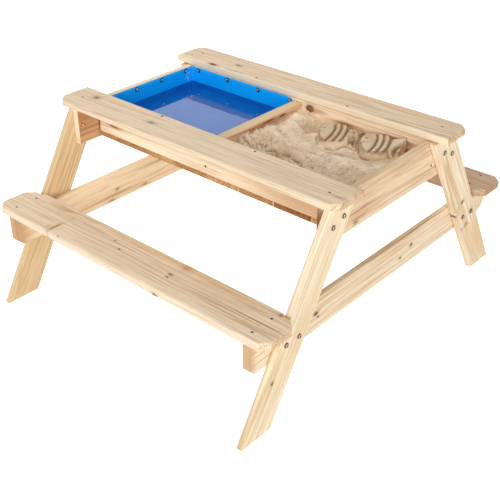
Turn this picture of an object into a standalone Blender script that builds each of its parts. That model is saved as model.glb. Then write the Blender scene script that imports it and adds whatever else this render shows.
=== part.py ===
"""Children's picnic table with a water basin and a sand tray let into its top.

Metres, +Z up. The origin is on the ground under the middle of the table. The top planks run along X,
the front bench is at -Y and the rear bench at +Y, the water basin is at -X and the sand tray at +X.
"""

import math

import bmesh
import bpy
import numpy as np
from mathutils import Matrix, Vector

# Fits
CLEARANCE = 0.0003
WELD = 0.00002
OVERRUN = 0.004

# Top planks
TABLE_HEIGHT = 0.500
TOP_LENGTH = 0.909
PLANK_WIDTH = 0.103
PLANK_THICKNESS = 0.019
PLANK_CORNER_CUT = 0.021
PLANK_LIP = 0.002
SEAT_ARRIS = 0.0045

# Tray under the top
TRAY_DEPTH = 0.342
SIDE_WALL_THICKNESS = 0.016
SIDE_WALL_HEIGHT = 0.0862
END_WALL_THICKNESS = 0.016
END_WALL_HEIGHT = 0.1037
END_WALL_SETBACK = 0.0145
DIVIDER_THICKNESS = 0.028
DIVIDER_DROP = 0.0067
SLAT_WIDTH = 0.1084
SLAT_THICKNESS = 0.0142
WALL_ARRIS = 0.0015

# Legs
LEG_SETBACK = 0.0245
LEG_THICKNESS = 0.0175
LEG_WIDTH = 0.0836
LEG_TOP_SETBACK = 0.0201
LEG_SPLAY_DEGREES = 30.8
FRAME_ARRIS = 0.003

# Benches and the cross beams that carry them
SEAT_HEIGHT = 0.2735
BENCH_WIDTH = 0.120
BENCH_THICKNESS = 0.022
BENCH_END_EXTRA = 0.0045
BENCH_CORNER_CUT = 0.0215
NOTCH_DEPTH = 0.0115
NOTCH_SIDE_CLEARANCE = 0.0015
NOTCH_FRONT_CLEARANCE = 0.0005
BEAM_HEIGHT = 0.0865
BEAM_THICKNESS = 0.016
BEAM_SETBACK = 0.0025
BEAM_CORNER_CUT = 0.022

# Bolts through the legs
BOLT_DIAMETER = 0.006
BOLT_BORE_CLEARANCE = 0.0003
BOLT_HEAD_DIAMETER = 0.013
BOLT_HEAD_RISE = 0.0045
NUT_DIAMETER = 0.011
NUT_LENGTH = 0.005
NUT_CAP_RISE = 0.004
HIGH_BOLT_FROM_SIDE_WALL = 0.019
HIGH_BOLT_FROM_TOP = 0.0367
LOW_BOLT_FROM_END = 0.0145
LOW_BOLT_FROM_TOP = 0.0509
BEAM_BOLT_PITCH = 0.0435
BEAM_BOLT_SHIFT = 0.003
BEAM_BOLT_FROM_TOP = 0.0467

# Recesses of the countersunk screws
SCREW_RECESS_DIAMETER = 0.0075
SCREW_RECESS_DEPTH = 0.0018
PLANK_SCREW_SPREAD = 0.308
PLANK_SCREW_FROM_EDGE = 0.046
BENCH_SCREW_PITCH = 0.062
BENCH_SCREW_SHIFT = 0.005
WALL_SCREW_FROM_BOTTOM = 0.020

# Water basin liner and the studs that pin it to the wood
LINER_THICKNESS = 0.0012
LINER_CORNER_RADIUS = 0.006
LINER_DROP = 0.0012
STUD_HEAD_DIAMETER = 0.012
STUD_HEAD_RISE = 0.003
STUD_PIN_DIAMETER = 0.0024
STUD_PIN_LENGTH = 0.012
STUD_BORE_CLEARANCE = 0.0003
STUD_MARGIN = 0.0047
STUD_END_INSET = 0.027
STUD_DIVIDER_INSET = 0.013
STUD_SIDE_INSET = 0.0285
STUDS_PER_SIDE = 4

# Sand
SAND_DEPTH = 0.0455
SAND_CELL = 0.0103
MOULD_LENGTH = 0.076
MOULD_WIDTH = 0.094
MOULD_HEIGHT = 0.022
MOULD_SLOPE = 0.007
MOULD_TAIL_LENGTH = 0.0395
MOULD_TAIL_WIDTH = 0.080
MOULD_NECK_WIDTH = 0.044
# Each heap or hollow: centre along and across the tray as shares of its length and width, reach along
# and across as shares of the same, and rise as a share of the sand's depth.
SAND_HEAP_SHARES = (
    (0.00, 0.45, 0.10, 0.90, 0.40),
    (0.03, 1.00, 0.09, 0.20, 0.15),
    (0.22, 0.87, 0.10, 0.11, -0.16),
    (0.30, 0.33, 0.15, 0.14, 0.20),
    (0.62, 0.42, 0.13, 0.10, -0.18),
    (0.70, 0.22, 0.12, 0.15, -0.12),
    (0.95, 0.97, 0.10, 0.12, 0.18),
    (0.95, 0.08, 0.20, 0.16, 0.10),
)
# Each moulded shape: centre along and across the tray as shares of its length and width.
MOULD_CENTRE_SHARES = ((0.430, 0.748), (0.730, 0.813))
MOULD_TURN_DEGREES = 20.0

# Facets
TURNED_STEPS = 12
DOME_STEPS = 3
NUT_CAP_STEPS = 2
RECESS_STEPS = 8
SEAT_ARRIS_SEGMENTS = 3
BOARD_ARRIS_SEGMENTS = 2
LINER_CORNER_SEGMENTS = 2

# Heights worked out from the sizes
PLANK_BOTTOM = TABLE_HEIGHT - PLANK_THICKNESS
WALL_TOP = PLANK_BOTTOM - CLEARANCE
SIDE_WALL_BOTTOM = WALL_TOP - SIDE_WALL_HEIGHT
SLAT_TOP = SIDE_WALL_BOTTOM - CLEARANCE
END_WALL_BOTTOM = WALL_TOP - END_WALL_HEIGHT
DIVIDER_TOP = WALL_TOP - DIVIDER_DROP
BENCH_BOTTOM = SEAT_HEIGHT - BENCH_THICKNESS
BEAM_TOP = BENCH_BOTTOM - CLEARANCE
BEAM_BOTTOM = BEAM_TOP - BEAM_HEIGHT

# Places along X worked out from the sizes
LEG_OUTER_X = TOP_LENGTH / 2 - LEG_SETBACK
LEG_INNER_X = LEG_OUTER_X - LEG_THICKNESS
FRAME_OUTER_X = LEG_INNER_X - CLEARANCE
END_WALL_INNER_X = FRAME_OUTER_X - END_WALL_THICKNESS
TRAY_END_X = END_WALL_INNER_X - CLEARANCE
BENCH_END_X = TOP_LENGTH / 2 + BENCH_END_EXTRA
NOTCH_X = LEG_INNER_X - NOTCH_SIDE_CLEARANCE

# Places along Y worked out from the sizes
SIDE_WALL_INNER_Y = TRAY_DEPTH / 2
SIDE_WALL_OUTER_Y = SIDE_WALL_INNER_Y + SIDE_WALL_THICKNESS
PLANK_INNER_Y = SIDE_WALL_INNER_Y - PLANK_LIP
PLANK_OUTER_Y = PLANK_INNER_Y + PLANK_WIDTH
END_WALL_END_Y = PLANK_OUTER_Y - END_WALL_SETBACK
LEG_SLOPE = math.tan(math.radians(LEG_SPLAY_DEGREES))
LEG_LEVEL_WIDTH = LEG_WIDTH / math.cos(math.radians(LEG_SPLAY_DEGREES))


def leg_outer_y(height):
    """Distance of the leg's outer edge from the middle at a height."""
    return PLANK_OUTER_Y - LEG_TOP_SETBACK + (WALL_TOP - height) * LEG_SLOPE


NOTCH_Y = leg_outer_y(BENCH_BOTTOM) + NOTCH_FRONT_CLEARANCE
BENCH_INNER_Y = NOTCH_Y - NOTCH_DEPTH
BENCH_OUTER_Y = BENCH_INNER_Y + BENCH_WIDTH
BEAM_END_Y = BENCH_OUTER_Y - BEAM_SETBACK

PARTS = bpy.data.collections.new("picnic_table_with_sandbox")
BOLT_BORES = bpy.data.collections.new("bolt_bores")
STUD_BORES = bpy.data.collections.new("stud_bores")
SCREW_RECESSES = bpy.data.collections.new("screw_recesses")
TRIMS = bpy.data.collections.new("trims")
CUTTERS = bpy.data.collections.new("cutters")


# Scene and materials


def start_scene():
    """Empty the scene and link the collections."""
    for old in list(bpy.data.objects):
        bpy.data.objects.remove(old, do_unlink=True)
    bpy.context.scene.collection.children.link(PARTS)
    bpy.context.scene.collection.children.link(CUTTERS)
    for group in (BOLT_BORES, STUD_BORES, SCREW_RECESSES, TRIMS):
        CUTTERS.children.link(group)


def principled(name, colour, roughness, metallic=0.0):
    """A Principled BSDF material."""
    material = bpy.data.materials.new(name)
    material.use_nodes = True
    shader = material.node_tree.nodes["Principled BSDF"]
    shader.inputs["Base Color"].default_value = (*colour, 1.0)
    shader.inputs["Roughness"].default_value = roughness
    shader.inputs["Metallic"].default_value = metallic
    return material


# Solids


def new_object(name, mesh, material=None, group=PARTS):
    """An object for a mesh, in its collection, with its material."""
    piece = bpy.data.objects.new(name, mesh)
    group.objects.link(piece)
    if material is not None and not mesh.materials:
        mesh.materials.append(material)
    if group is not PARTS:
        piece.hide_render = True
        piece.display_type = "WIRE"
    return piece


def box_mesh(name, size):
    """A box of this size about its own centre."""
    mesh = bpy.data.meshes.new(name)
    shape = bmesh.new()
    bmesh.ops.create_cube(shape, size=1.0)
    bmesh.ops.scale(shape, vec=size, verts=shape.verts)
    shape.to_mesh(mesh)
    shape.free()
    return mesh


def outline_mesh(name, points, thickness):
    """A flat outline in its own XY plane, filled and made as thick as the board."""
    curve = bpy.data.curves.new(name, "CURVE")
    curve.dimensions = "2D"
    curve.fill_mode = "BOTH"
    curve.extrude = thickness / 2
    spline = curve.splines.new("POLY")
    spline.points.add(len(points) - 1)
    for point, (x, y) in zip(spline.points, points):
        point.co = (x, y, 0.0, 1.0)
    spline.use_cyclic_u = True
    drawn = new_object(name + "_outline", curve, group=TRIMS)
    bpy.context.view_layer.update()
    mesh = bpy.data.meshes.new_from_object(drawn.evaluated_get(bpy.context.evaluated_depsgraph_get()))
    bpy.data.objects.remove(drawn, do_unlink=True)
    mesh.name = name
    shape = bmesh.new()
    shape.from_mesh(mesh)
    bmesh.ops.remove_doubles(shape, verts=shape.verts, dist=WELD)
    bmesh.ops.dissolve_limit(
        shape, angle_limit=math.radians(1.0), verts=shape.verts, edges=shape.edges
    )
    bmesh.ops.recalc_face_normals(shape, faces=shape.faces)
    shape.to_mesh(mesh)
    shape.free()
    return mesh


def weigh_edges(mesh, weight_of):
    """Give each edge of a board the bevel weight that weight_of says for its direction."""
    shape = bmesh.new()
    shape.from_mesh(mesh)
    layer = shape.edges.layers.float.new("bevel_weight_edge")
    for edge in shape.edges:
        direction = (edge.verts[1].co - edge.verts[0].co).normalized()
        edge[layer] = weight_of(direction)
    shape.to_mesh(mesh)
    shape.free()


def face_outline_weight(direction):
    """Full rounding round the outline of both faces, and a light one down the corners."""
    return 0.3 if abs(direction.z) > 0.5 else 1.0


def grain_weight(grain):
    """Full rounding along the grain, and a light one on the sawn ends."""
    return lambda direction: 1.0 if abs(direction.dot(grain)) > 0.9 else 0.3


def round_edges(piece, radius, segments=BOARD_ARRIS_SEGMENTS):
    """Round a board's edges by their bevel weights."""
    bevel = piece.modifiers.new("rounded_edges", "BEVEL")
    bevel.limit_method = "WEIGHT"
    bevel.width = radius
    bevel.segments = segments


def cut(piece, cutters):
    """Take every solid of a collection out of a piece."""
    boolean = piece.modifiers.new("cut_by_" + cutters.name, "BOOLEAN")
    boolean.operand_type = "COLLECTION"
    boolean.collection = cutters
    boolean.operation = "DIFFERENCE"
    boolean.solver = "EXACT"


def square_board(name, low, high, material, segments=BOARD_ARRIS_SEGMENTS):
    """A sawn board between two corners, its edges lightly eased."""
    size = [b - a for a, b in zip(low, high)]
    mesh = box_mesh(name, size)
    weigh_edges(mesh, lambda direction: 1.0)
    board = new_object(name, mesh, material)
    board.location = [(a + b) / 2 for a, b in zip(low, high)]
    round_edges(board, WALL_ARRIS, segments)
    return board


def stand_across(board, x, turned=False):
    """Stand a board drawn in XY across the table: its X along Y, its Y up, its thickness along X."""
    upright = Matrix.Rotation(math.radians(90.0), 4, "Z") @ Matrix.Rotation(math.radians(90.0), 4, "X")
    turn = Matrix.Rotation(math.radians(180.0 if turned else 0.0), 4, "Z")
    board.matrix_world = Matrix.Translation((x, 0.0, 0.0)) @ turn @ upright


def turned_mesh(name, profile):
    """A mesh edge that runs down a turned piece's profile, for its Screw modifier."""
    mesh = bpy.data.meshes.new(name)
    points = [(radius, 0.0, height) for radius, height in profile]
    edges = [(i, i + 1) for i in range(len(points) - 1)]
    mesh.from_pydata(points, edges, [])
    return mesh


def turn(piece):
    """Turn a piece's profile about its own Z axis."""
    screw = piece.modifiers.new("turned", "SCREW")
    screw.axis = "Z"
    screw.steps = TURNED_STEPS
    screw.render_steps = TURNED_STEPS
    screw.use_merge_vertices = True
    screw.merge_threshold = WELD
    screw.use_smooth_shade = True


def dome(radius, rise, base, steps=DOME_STEPS, upward=True):
    """The profile of a dome, top to bottom, from its pole down or from its rim down to its pole."""
    quarter = [math.radians(90.0) * i / steps for i in range(steps + 1)]
    if upward:
        return [(radius * math.sin(a), base + rise * math.cos(a)) for a in quarter]
    return [(radius * math.cos(a), base - rise * math.sin(a)) for a in quarter]


def bore(name, group, start, end, radius, segments=TURNED_STEPS):
    """A cylinder cutter between two points."""
    mesh = bpy.data.meshes.new(name)
    shape = bmesh.new()
    along = end - start
    bmesh.ops.create_cone(
        shape,
        cap_ends=True,
        segments=segments,
        radius1=radius,
        radius2=radius,
        depth=along.length,
    )
    shape.to_mesh(mesh)
    shape.free()
    cutter = new_object(name, mesh, group=group)
    aim = along.to_track_quat("Z", "Y").to_matrix().to_4x4()
    cutter.matrix_world = Matrix.Translation((start + end) / 2) @ aim
    return cutter


# Screw recesses


def screw_places():
    """Each board's name, its screws' places on its face, and the direction in which the face looks."""
    wall_x = FRAME_OUTER_X - END_WALL_THICKNESS / 2
    beam_x = FRAME_OUTER_X - BEAM_THICKNESS / 2
    side_y = SIDE_WALL_INNER_Y + SIDE_WALL_THICKNESS / 2
    edge_y = PLANK_OUTER_Y - PLANK_SCREW_FROM_EDGE
    bench_y = (BENCH_INNER_Y + BENCH_OUTER_Y) / 2 + BENCH_SCREW_SHIFT
    wall_z = SIDE_WALL_BOTTOM + WALL_SCREW_FROM_BOTTOM
    up = Vector((0.0, 0.0, 1.0))
    for end, end_sign in (("front", -1), ("rear", 1)):
        outward = Vector((0.0, end_sign, 0.0))
        yield "side_wall_" + end, (0.0, end_sign * SIDE_WALL_OUTER_Y, wall_z), outward
        for side in (-1, 1):
            yield end + "_plank", (side * wall_x, end_sign * edge_y, TABLE_HEIGHT), up
            yield end + "_plank", (side * PLANK_SCREW_SPREAD / 2, end_sign * side_y, TABLE_HEIGHT), up
            yield "end_wall", (side * FRAME_OUTER_X, end_sign * side_y, wall_z), Vector((side, 0.0, 0.0))
            for step in (-0.5, 0.5):
                y = end_sign * (bench_y + step * BENCH_SCREW_PITCH)
                yield end + "_bench", (side * beam_x, y, SEAT_HEIGHT), up


def make_screw_recesses():
    """The cutters of the recesses in which the screws' heads lie."""
    for number, (board, place, looks) in enumerate(screw_places(), start=1):
        face = Vector(place)
        bore(
            f"{board}_recess_{number}",
            SCREW_RECESSES,
            face + looks * OVERRUN,
            face - looks * SCREW_RECESS_DEPTH,
            SCREW_RECESS_DIAMETER / 2,
            segments=RECESS_STEPS,
        )


# Top and tray


def plank_outline():
    """A top plank from above, at its place on the rear side, its two outer corners cut off."""
    end = TOP_LENGTH / 2
    return [
        (-end, PLANK_INNER_Y),
        (end, PLANK_INNER_Y),
        (end, PLANK_OUTER_Y - PLANK_CORNER_CUT),
        (end - PLANK_CORNER_CUT, PLANK_OUTER_Y),
        (-end + PLANK_CORNER_CUT, PLANK_OUTER_Y),
        (-end, PLANK_OUTER_Y - PLANK_CORNER_CUT),
    ]


def bench_outline():
    """A bench from above, at its place on the rear side, notched where the legs pass its inner edge."""
    cut_x = BENCH_END_X - BENCH_CORNER_CUT
    right_half = [
        (NOTCH_X, BENCH_INNER_Y),
        (NOTCH_X, NOTCH_Y),
        (cut_x, NOTCH_Y),
        (BENCH_END_X, NOTCH_Y + BENCH_CORNER_CUT),
        (BENCH_END_X, BENCH_OUTER_Y - BENCH_CORNER_CUT),
        (cut_x, BENCH_OUTER_Y),
    ]
    return right_half + [(-x, y) for x, y in reversed(right_half)]


def make_flat_pair(names, outline, thickness, bottom, material):
    """A front and a rear board of one outline, lying flat at a height."""
    mesh = outline_mesh(names[1], outline, thickness)
    weigh_edges(mesh, face_outline_weight)
    for name, half_turn in zip(names, (180.0, 0.0)):
        board = new_object(name, mesh, material)
        board.location = (0.0, 0.0, bottom + thickness / 2)
        board.rotation_euler = (0.0, 0.0, math.radians(half_turn))
        round_edges(board, SEAT_ARRIS, SEAT_ARRIS_SEGMENTS)
        cut(board, SCREW_RECESSES)


def make_tray_walls(material):
    """End walls across the table, side walls between them, and the divider between the side walls."""
    for side, sign in (("left", -1), ("right", 1)):
        faces = sorted((sign * END_WALL_INNER_X, sign * FRAME_OUTER_X))
        wall = square_board(
            "end_wall_" + side,
            (faces[0], -END_WALL_END_Y, END_WALL_BOTTOM),
            (faces[1], END_WALL_END_Y, WALL_TOP),
            material,
        )
        cut(wall, BOLT_BORES)
        cut(wall, SCREW_RECESSES)
        if side == "left":
            cut(wall, STUD_BORES)
    for side, sign in (("front", -1), ("rear", 1)):
        faces = sorted((sign * SIDE_WALL_INNER_Y, sign * SIDE_WALL_OUTER_Y))
        wall = square_board(
            "side_wall_" + side,
            (-TRAY_END_X, faces[0], SIDE_WALL_BOTTOM),
            (TRAY_END_X, faces[1], WALL_TOP),
            material,
        )
        cut(wall, STUD_BORES)
        cut(wall, SCREW_RECESSES)
    half_depth = SIDE_WALL_INNER_Y - CLEARANCE
    divider = square_board(
        "divider",
        (-DIVIDER_THICKNESS / 2, -half_depth, SIDE_WALL_BOTTOM),
        (DIVIDER_THICKNESS / 2, half_depth, DIVIDER_TOP),
        material,
    )
    cut(divider, STUD_BORES)


def slat_joints():
    """Where the base slats meet along X, with the end slats trimmed to the tray."""
    pitch = SLAT_WIDTH + CLEARANCE
    whole = int(TRAY_END_X / pitch)
    joints = [pitch * i for i in range(-whole, whole + 1)]
    if TRAY_END_X - joints[-1] > pitch / 10:
        joints = [-TRAY_END_X] + joints + [TRAY_END_X]
    return joints


def make_slats(material):
    """The boards under the tray, which run front to rear and are flush with the side walls."""
    joints = slat_joints()
    for number, (left, right) in enumerate(zip(joints, joints[1:]), start=1):
        square_board(
            f"base_slat_{number}",
            (left + CLEARANCE / 2, -SIDE_WALL_OUTER_Y, SLAT_TOP - SLAT_THICKNESS),
            (right - CLEARANCE / 2, SIDE_WALL_OUTER_Y, SLAT_TOP),
            material,
            segments=1,
        )


# Legs and beams


def make_legs(material):
    """Four splayed legs, cut level at the floor and under the top."""
    top_y = leg_outer_y(WALL_TOP)
    foot_y = leg_outer_y(0.0)
    outline = [
        (foot_y - LEG_LEVEL_WIDTH, 0.0),
        (foot_y, 0.0),
        (top_y, WALL_TOP),
        (top_y - LEG_LEVEL_WIDTH, WALL_TOP),
    ]
    mesh = outline_mesh("leg", outline, LEG_THICKNESS)
    run = Matrix.Rotation(math.radians(LEG_SPLAY_DEGREES), 3, "Z").col[1]
    weigh_edges(mesh, grain_weight(run))
    middle = (LEG_INNER_X + LEG_OUTER_X) / 2
    for end, turned in (("front", True), ("rear", False)):
        for side, sign in (("left", -1), ("right", 1)):
            leg = new_object(f"leg_{end}_{side}", mesh, material)
            stand_across(leg, sign * middle, turned)
            round_edges(leg, FRAME_ARRIS)
            cut(leg, BOLT_BORES)


def make_beams(material):
    """The two beams under the benches, their lower corners cut off."""
    cut_y = BEAM_END_Y - BEAM_CORNER_CUT
    cut_z = BEAM_BOTTOM + BEAM_CORNER_CUT
    outline = [
        (-cut_y, BEAM_BOTTOM),
        (cut_y, BEAM_BOTTOM),
        (BEAM_END_Y, cut_z),
        (BEAM_END_Y, BEAM_TOP),
        (-BEAM_END_Y, BEAM_TOP),
        (-BEAM_END_Y, cut_z),
    ]
    mesh = outline_mesh("cross_beam", outline, BEAM_THICKNESS)
    weigh_edges(mesh, grain_weight(Matrix.Identity(3).col[0]))
    for side, sign in (("left", -1), ("right", 1)):
        beam = new_object("cross_beam_" + side, mesh, material)
        stand_across(beam, sign * (FRAME_OUTER_X - BEAM_THICKNESS / 2))
        round_edges(beam, FRAME_ARRIS)
        cut(beam, BOLT_BORES)


# Bolts


def bolt_profile(grip):
    """A dome-headed bolt with its cap nut: head above zero, the clamped boards' thickness below it."""
    head = dome(BOLT_HEAD_DIAMETER / 2, BOLT_HEAD_RISE, 0.0)
    shank = [(BOLT_DIAMETER / 2, 0.0), (BOLT_DIAMETER / 2, -grip)]
    nut = [(NUT_DIAMETER / 2, -grip)]
    cap = dome(NUT_DIAMETER / 2, NUT_CAP_RISE, -grip - NUT_LENGTH, NUT_CAP_STEPS, upward=False)
    return head + shank + nut + cap


def bolt_places():
    """Each bolt's name on its leg, its board's thickness, and its distances across and up."""
    beam_bolt_height = BEAM_TOP - BEAM_BOLT_FROM_TOP
    leg_middle = leg_outer_y(beam_bolt_height) - LEG_LEVEL_WIDTH / 2 + BEAM_BOLT_SHIFT
    high_y, high_z = SIDE_WALL_OUTER_Y + HIGH_BOLT_FROM_SIDE_WALL, WALL_TOP - HIGH_BOLT_FROM_TOP
    low_y, low_z = END_WALL_END_Y - LOW_BOLT_FROM_END, WALL_TOP - LOW_BOLT_FROM_TOP
    return (
        ("top_inner", END_WALL_THICKNESS, high_y, high_z),
        ("top_outer", END_WALL_THICKNESS, low_y, low_z),
        ("beam_inner", BEAM_THICKNESS, leg_middle - BEAM_BOLT_PITCH / 2, beam_bolt_height),
        ("beam_outer", BEAM_THICKNESS, leg_middle + BEAM_BOLT_PITCH / 2, beam_bolt_height),
    )


def make_bolts(material):
    """Four bolts through each leg, two into the end wall and two into the cross beam."""
    head_x = LEG_OUTER_X + CLEARANCE
    for place, board, across, up in bolt_places():
        grip = LEG_THICKNESS + board + CLEARANCE * 3
        mesh = turned_mesh("bolt_" + place, bolt_profile(grip))
        for end, end_sign in (("front", -1), ("rear", 1)):
            for side, side_sign in (("left", -1), ("right", 1)):
                bolt = new_object(f"bolt_{end}_{side}_{place}", mesh, material)
                turn(bolt)
                bolt.location = (side_sign * head_x, end_sign * across, up)
                bolt.rotation_euler = (0.0, math.radians(side_sign * 90.0), 0.0)
                bore(
                    bolt.name + "_bore",
                    BOLT_BORES,
                    Vector((side_sign * (head_x + OVERRUN), end_sign * across, up)),
                    Vector((side_sign * (head_x - grip - OVERRUN), end_sign * across, up)),
                    BOLT_DIAMETER / 2 + BOLT_BORE_CLEARANCE,
                )


# Water basin


def make_liner(material):
    """The liner: an open box of sheet with soft corners, lower on the divider's side."""
    left, right = -TRAY_END_X, -DIVIDER_THICKNESS / 2 - CLEARANCE
    depth = (SIDE_WALL_INNER_Y - CLEARANCE) * 2
    bottom, top = SIDE_WALL_BOTTOM, WALL_TOP - LINER_DROP
    mesh = box_mesh("liner", (right - left, depth, top - bottom))
    shape = bmesh.new()
    shape.from_mesh(mesh)
    lid = [face for face in shape.faces if face.normal.z > 0.5]
    bmesh.ops.delete(shape, geom=lid, context="FACES_ONLY")
    shape.to_mesh(mesh)
    shape.free()
    liner = new_object("liner", mesh, material)
    liner.location = ((left + right) / 2, 0.0, (bottom + top) / 2)
    soft = liner.modifiers.new("soft_corners", "BEVEL")
    soft.limit_method = "ANGLE"
    soft.width = LINER_CORNER_RADIUS
    soft.segments = LINER_CORNER_SEGMENTS
    sheet = liner.modifiers.new("sheet", "SOLIDIFY")
    sheet.thickness = LINER_THICKNESS
    sheet.offset = -1.0
    sheet.use_even_offset = True

    low_side = DIVIDER_TOP - LINER_DROP
    trim_size = (LINER_THICKNESS * 2 + OVERRUN, depth + OVERRUN, top - low_side + OVERRUN)
    trim = new_object("liner_low_side", box_mesh("liner_low_side", trim_size), group=TRIMS)
    trim.location = (right, 0.0, low_side + trim_size[2] / 2)
    cut(liner, TRIMS)
    cut(liner, STUD_BORES)


def stud_profile():
    """A stud: a domed head above zero and its pin below."""
    head = dome(STUD_HEAD_DIAMETER / 2, STUD_HEAD_RISE, 0.0)
    radius = STUD_PIN_DIAMETER / 2
    return head + [(radius, 0.0), (radius, -STUD_PIN_LENGTH), (0.0, -STUD_PIN_LENGTH)]


def evenly(first, last):
    """The studs' places along one side, from the first to the last."""
    return [first + (last - first) * i / (STUDS_PER_SIDE - 1) for i in range(STUDS_PER_SIDE)]


def stud_places():
    """Each stud's side, its head's place, and the direction in which its head looks into the basin."""
    face = LINER_THICKNESS + CLEARANCE * 2
    head = STUD_MARGIN + STUD_HEAD_DIAMETER / 2
    reach = SIDE_WALL_INNER_Y - STUD_SIDE_INSET
    first_x = -END_WALL_INNER_X + STUD_END_INSET
    last_x = -DIVIDER_THICKNESS / 2 - STUD_DIVIDER_INSET
    wall_height, divider_height = WALL_TOP - head, DIVIDER_TOP - head
    left_x = -TRAY_END_X + face - CLEARANCE
    divider_x = -DIVIDER_THICKNESS / 2 - face
    side_y = SIDE_WALL_INNER_Y - face
    places = []
    for y in evenly(-reach, reach):
        places.append(("left", (left_x, y, wall_height), (1.0, 0.0, 0.0)))
        places.append(("divider", (divider_x, y, divider_height), (-1.0, 0.0, 0.0)))
    for x in evenly(first_x, last_x):
        places.append(("front", (x, -side_y, wall_height), (0.0, 1.0, 0.0)))
        places.append(("rear", (x, side_y, wall_height), (0.0, -1.0, 0.0)))
    return places


def make_studs(material):
    """Studs round the basin, each with its pin in a bore through the liner into the wood."""
    mesh = turned_mesh("stud", stud_profile())
    counts = {}
    for side, place, looks in stud_places():
        counts[side] = counts.get(side, 0) + 1
        stud = new_object(f"stud_{side}_{counts[side]}", mesh, material)
        turn(stud)
        axis = Vector(looks)
        head = Vector(place)
        aim = axis.to_track_quat("Z", "Y").to_matrix().to_4x4()
        stud.matrix_world = Matrix.Translation(head) @ aim
        bore(
            stud.name + "_bore",
            STUD_BORES,
            head + axis * CLEARANCE,
            head - axis * (STUD_PIN_LENGTH + CLEARANCE),
            STUD_PIN_DIAMETER / 2 + STUD_BORE_CLEARANCE,
        )


# Sand


def mould_depth(along, across):
    """How far a point lies inside a moulded fish shape's outline, negative outside it."""
    half_length, half_width = MOULD_LENGTH / 2, MOULD_WIDTH / 2
    body = (1.0 - np.hypot(along / half_length, across / half_width)) * half_width
    neck_x = half_length * 3 / 4
    tail_x = neck_x + MOULD_TAIL_LENGTH
    flare = (MOULD_TAIL_WIDTH - MOULD_NECK_WIDTH) / 2 * (along - neck_x) / MOULD_TAIL_LENGTH
    half_tail = MOULD_NECK_WIDTH / 2 + np.clip(flare, 0.0, None)
    tail = np.minimum(np.minimum(along - neck_x, tail_x - along), half_tail - np.abs(across))
    return np.maximum(body, tail)


def smooth_rise(depth):
    """From 0 outside a moulded outline to 1 inside it, over the width of its sloped side."""
    share = np.clip(depth / MOULD_SLOPE + 0.5, 0.0, 1.0)
    return share * share * (3.0 - 2.0 * share)


def sand_height(x, y, length, width):
    """The sand's height above its bed, from the divider (x) and from the front wall (y)."""
    height = np.full_like(x, SAND_DEPTH)
    for centre_x, centre_y, reach_x, reach_y, rise in SAND_HEAP_SHARES:
        along = (x / length - centre_x) / reach_x
        across = (y / width - centre_y) / reach_y
        height += SAND_DEPTH * rise * np.exp(-(along**2) - across**2)
    turn_angle = math.radians(MOULD_TURN_DEGREES)
    for share_x, share_y in MOULD_CENTRE_SHARES:
        dx, dy = x - share_x * length, y - share_y * width
        along = dx * math.cos(turn_angle) + dy * math.sin(turn_angle)
        across = dy * math.cos(turn_angle) - dx * math.sin(turn_angle)
        height += MOULD_HEIGHT * smooth_rise(mould_depth(along, across))
    return height


def make_sand(material):
    """The sand: a grid raised to its relief, closed down to the slats."""
    left = DIVIDER_THICKNESS / 2 + CLEARANCE
    length = TRAY_END_X - left
    front = -SIDE_WALL_INNER_Y + CLEARANCE
    width = -2 * front
    columns = round(length / SAND_CELL)
    rows = round(width / SAND_CELL)
    mesh = bpy.data.meshes.new("sand")
    shape = bmesh.new()
    bmesh.ops.create_grid(shape, x_segments=columns, y_segments=rows, size=0.5)
    top = list(shape.verts)
    walls = bmesh.ops.extrude_face_region(shape, geom=list(shape.faces))
    bed = [item for item in walls["geom"] if isinstance(item, bmesh.types.BMVert)]
    bed_faces = [item for item in walls["geom"] if isinstance(item, bmesh.types.BMFace)]
    x = np.array([(vert.co.x + 0.5) * length for vert in top])
    y = np.array([(vert.co.y + 0.5) * width for vert in top])
    for vert, height in zip(top, sand_height(x, y, length, width)):
        vert.co.z = height
    for vert in top + bed:
        vert.co.x = (vert.co.x + 0.5) * length
        vert.co.y = (vert.co.y + 0.5) * width
    bmesh.ops.dissolve_faces(shape, faces=bed_faces)
    bmesh.ops.recalc_face_normals(shape, faces=shape.faces)
    shape.to_mesh(mesh)
    shape.free()
    mesh.shade_smooth()
    mesh.set_sharp_from_angle(angle=math.radians(50.0))
    sand = new_object("sand", mesh, material)
    sand.location = (left, front, SIDE_WALL_BOTTOM)


# The whole table


def build():
    """Make every piece of the table."""
    start_scene()
    seat_wood = principled("seat_wood", (0.70, 0.55, 0.39), 0.55)
    frame_wood = principled("frame_wood", (0.80, 0.63, 0.42), 0.58)
    slat_wood = principled("slat_wood", (0.68, 0.47, 0.28), 0.60)
    zinc = principled("zinc_plated_steel", (0.55, 0.54, 0.52), 0.32, 1.0)
    nickel = principled("polished_nickel", (0.62, 0.60, 0.57), 0.18, 1.0)
    pvc = principled("blue_pvc", (0.01, 0.22, 0.80), 0.30)
    sand = principled("sand", (0.58, 0.45, 0.32), 0.95)

    make_screw_recesses()
    make_flat_pair(
        ("front_top_plank", "rear_top_plank"),
        plank_outline(),
        PLANK_THICKNESS,
        PLANK_BOTTOM,
        seat_wood,
    )
    make_flat_pair(
        ("front_bench", "rear_bench"),
        bench_outline(),
        BENCH_THICKNESS,
        BENCH_BOTTOM,
        seat_wood,
    )
    make_tray_walls(frame_wood)
    make_slats(slat_wood)
    make_legs(frame_wood)
    make_beams(frame_wood)
    make_bolts(zinc)
    make_liner(pvc)
    make_studs(nickel)
    make_sand(sand)


build()
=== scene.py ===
"""Looks of a children's picnic table with a lined water basin and a sand tray let into its top.

Metres, +Z up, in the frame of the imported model: the top planks run along X, the front is at -Y,
the basin at -X and the sand at +X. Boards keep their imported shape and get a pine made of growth
rings, fibres and knots. Bolts, studs, screws, liner, water and sand are finer pieces made here.
"""

import math

import bmesh
import bpy
import numpy as np
from mathutils import Matrix, Vector


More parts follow.
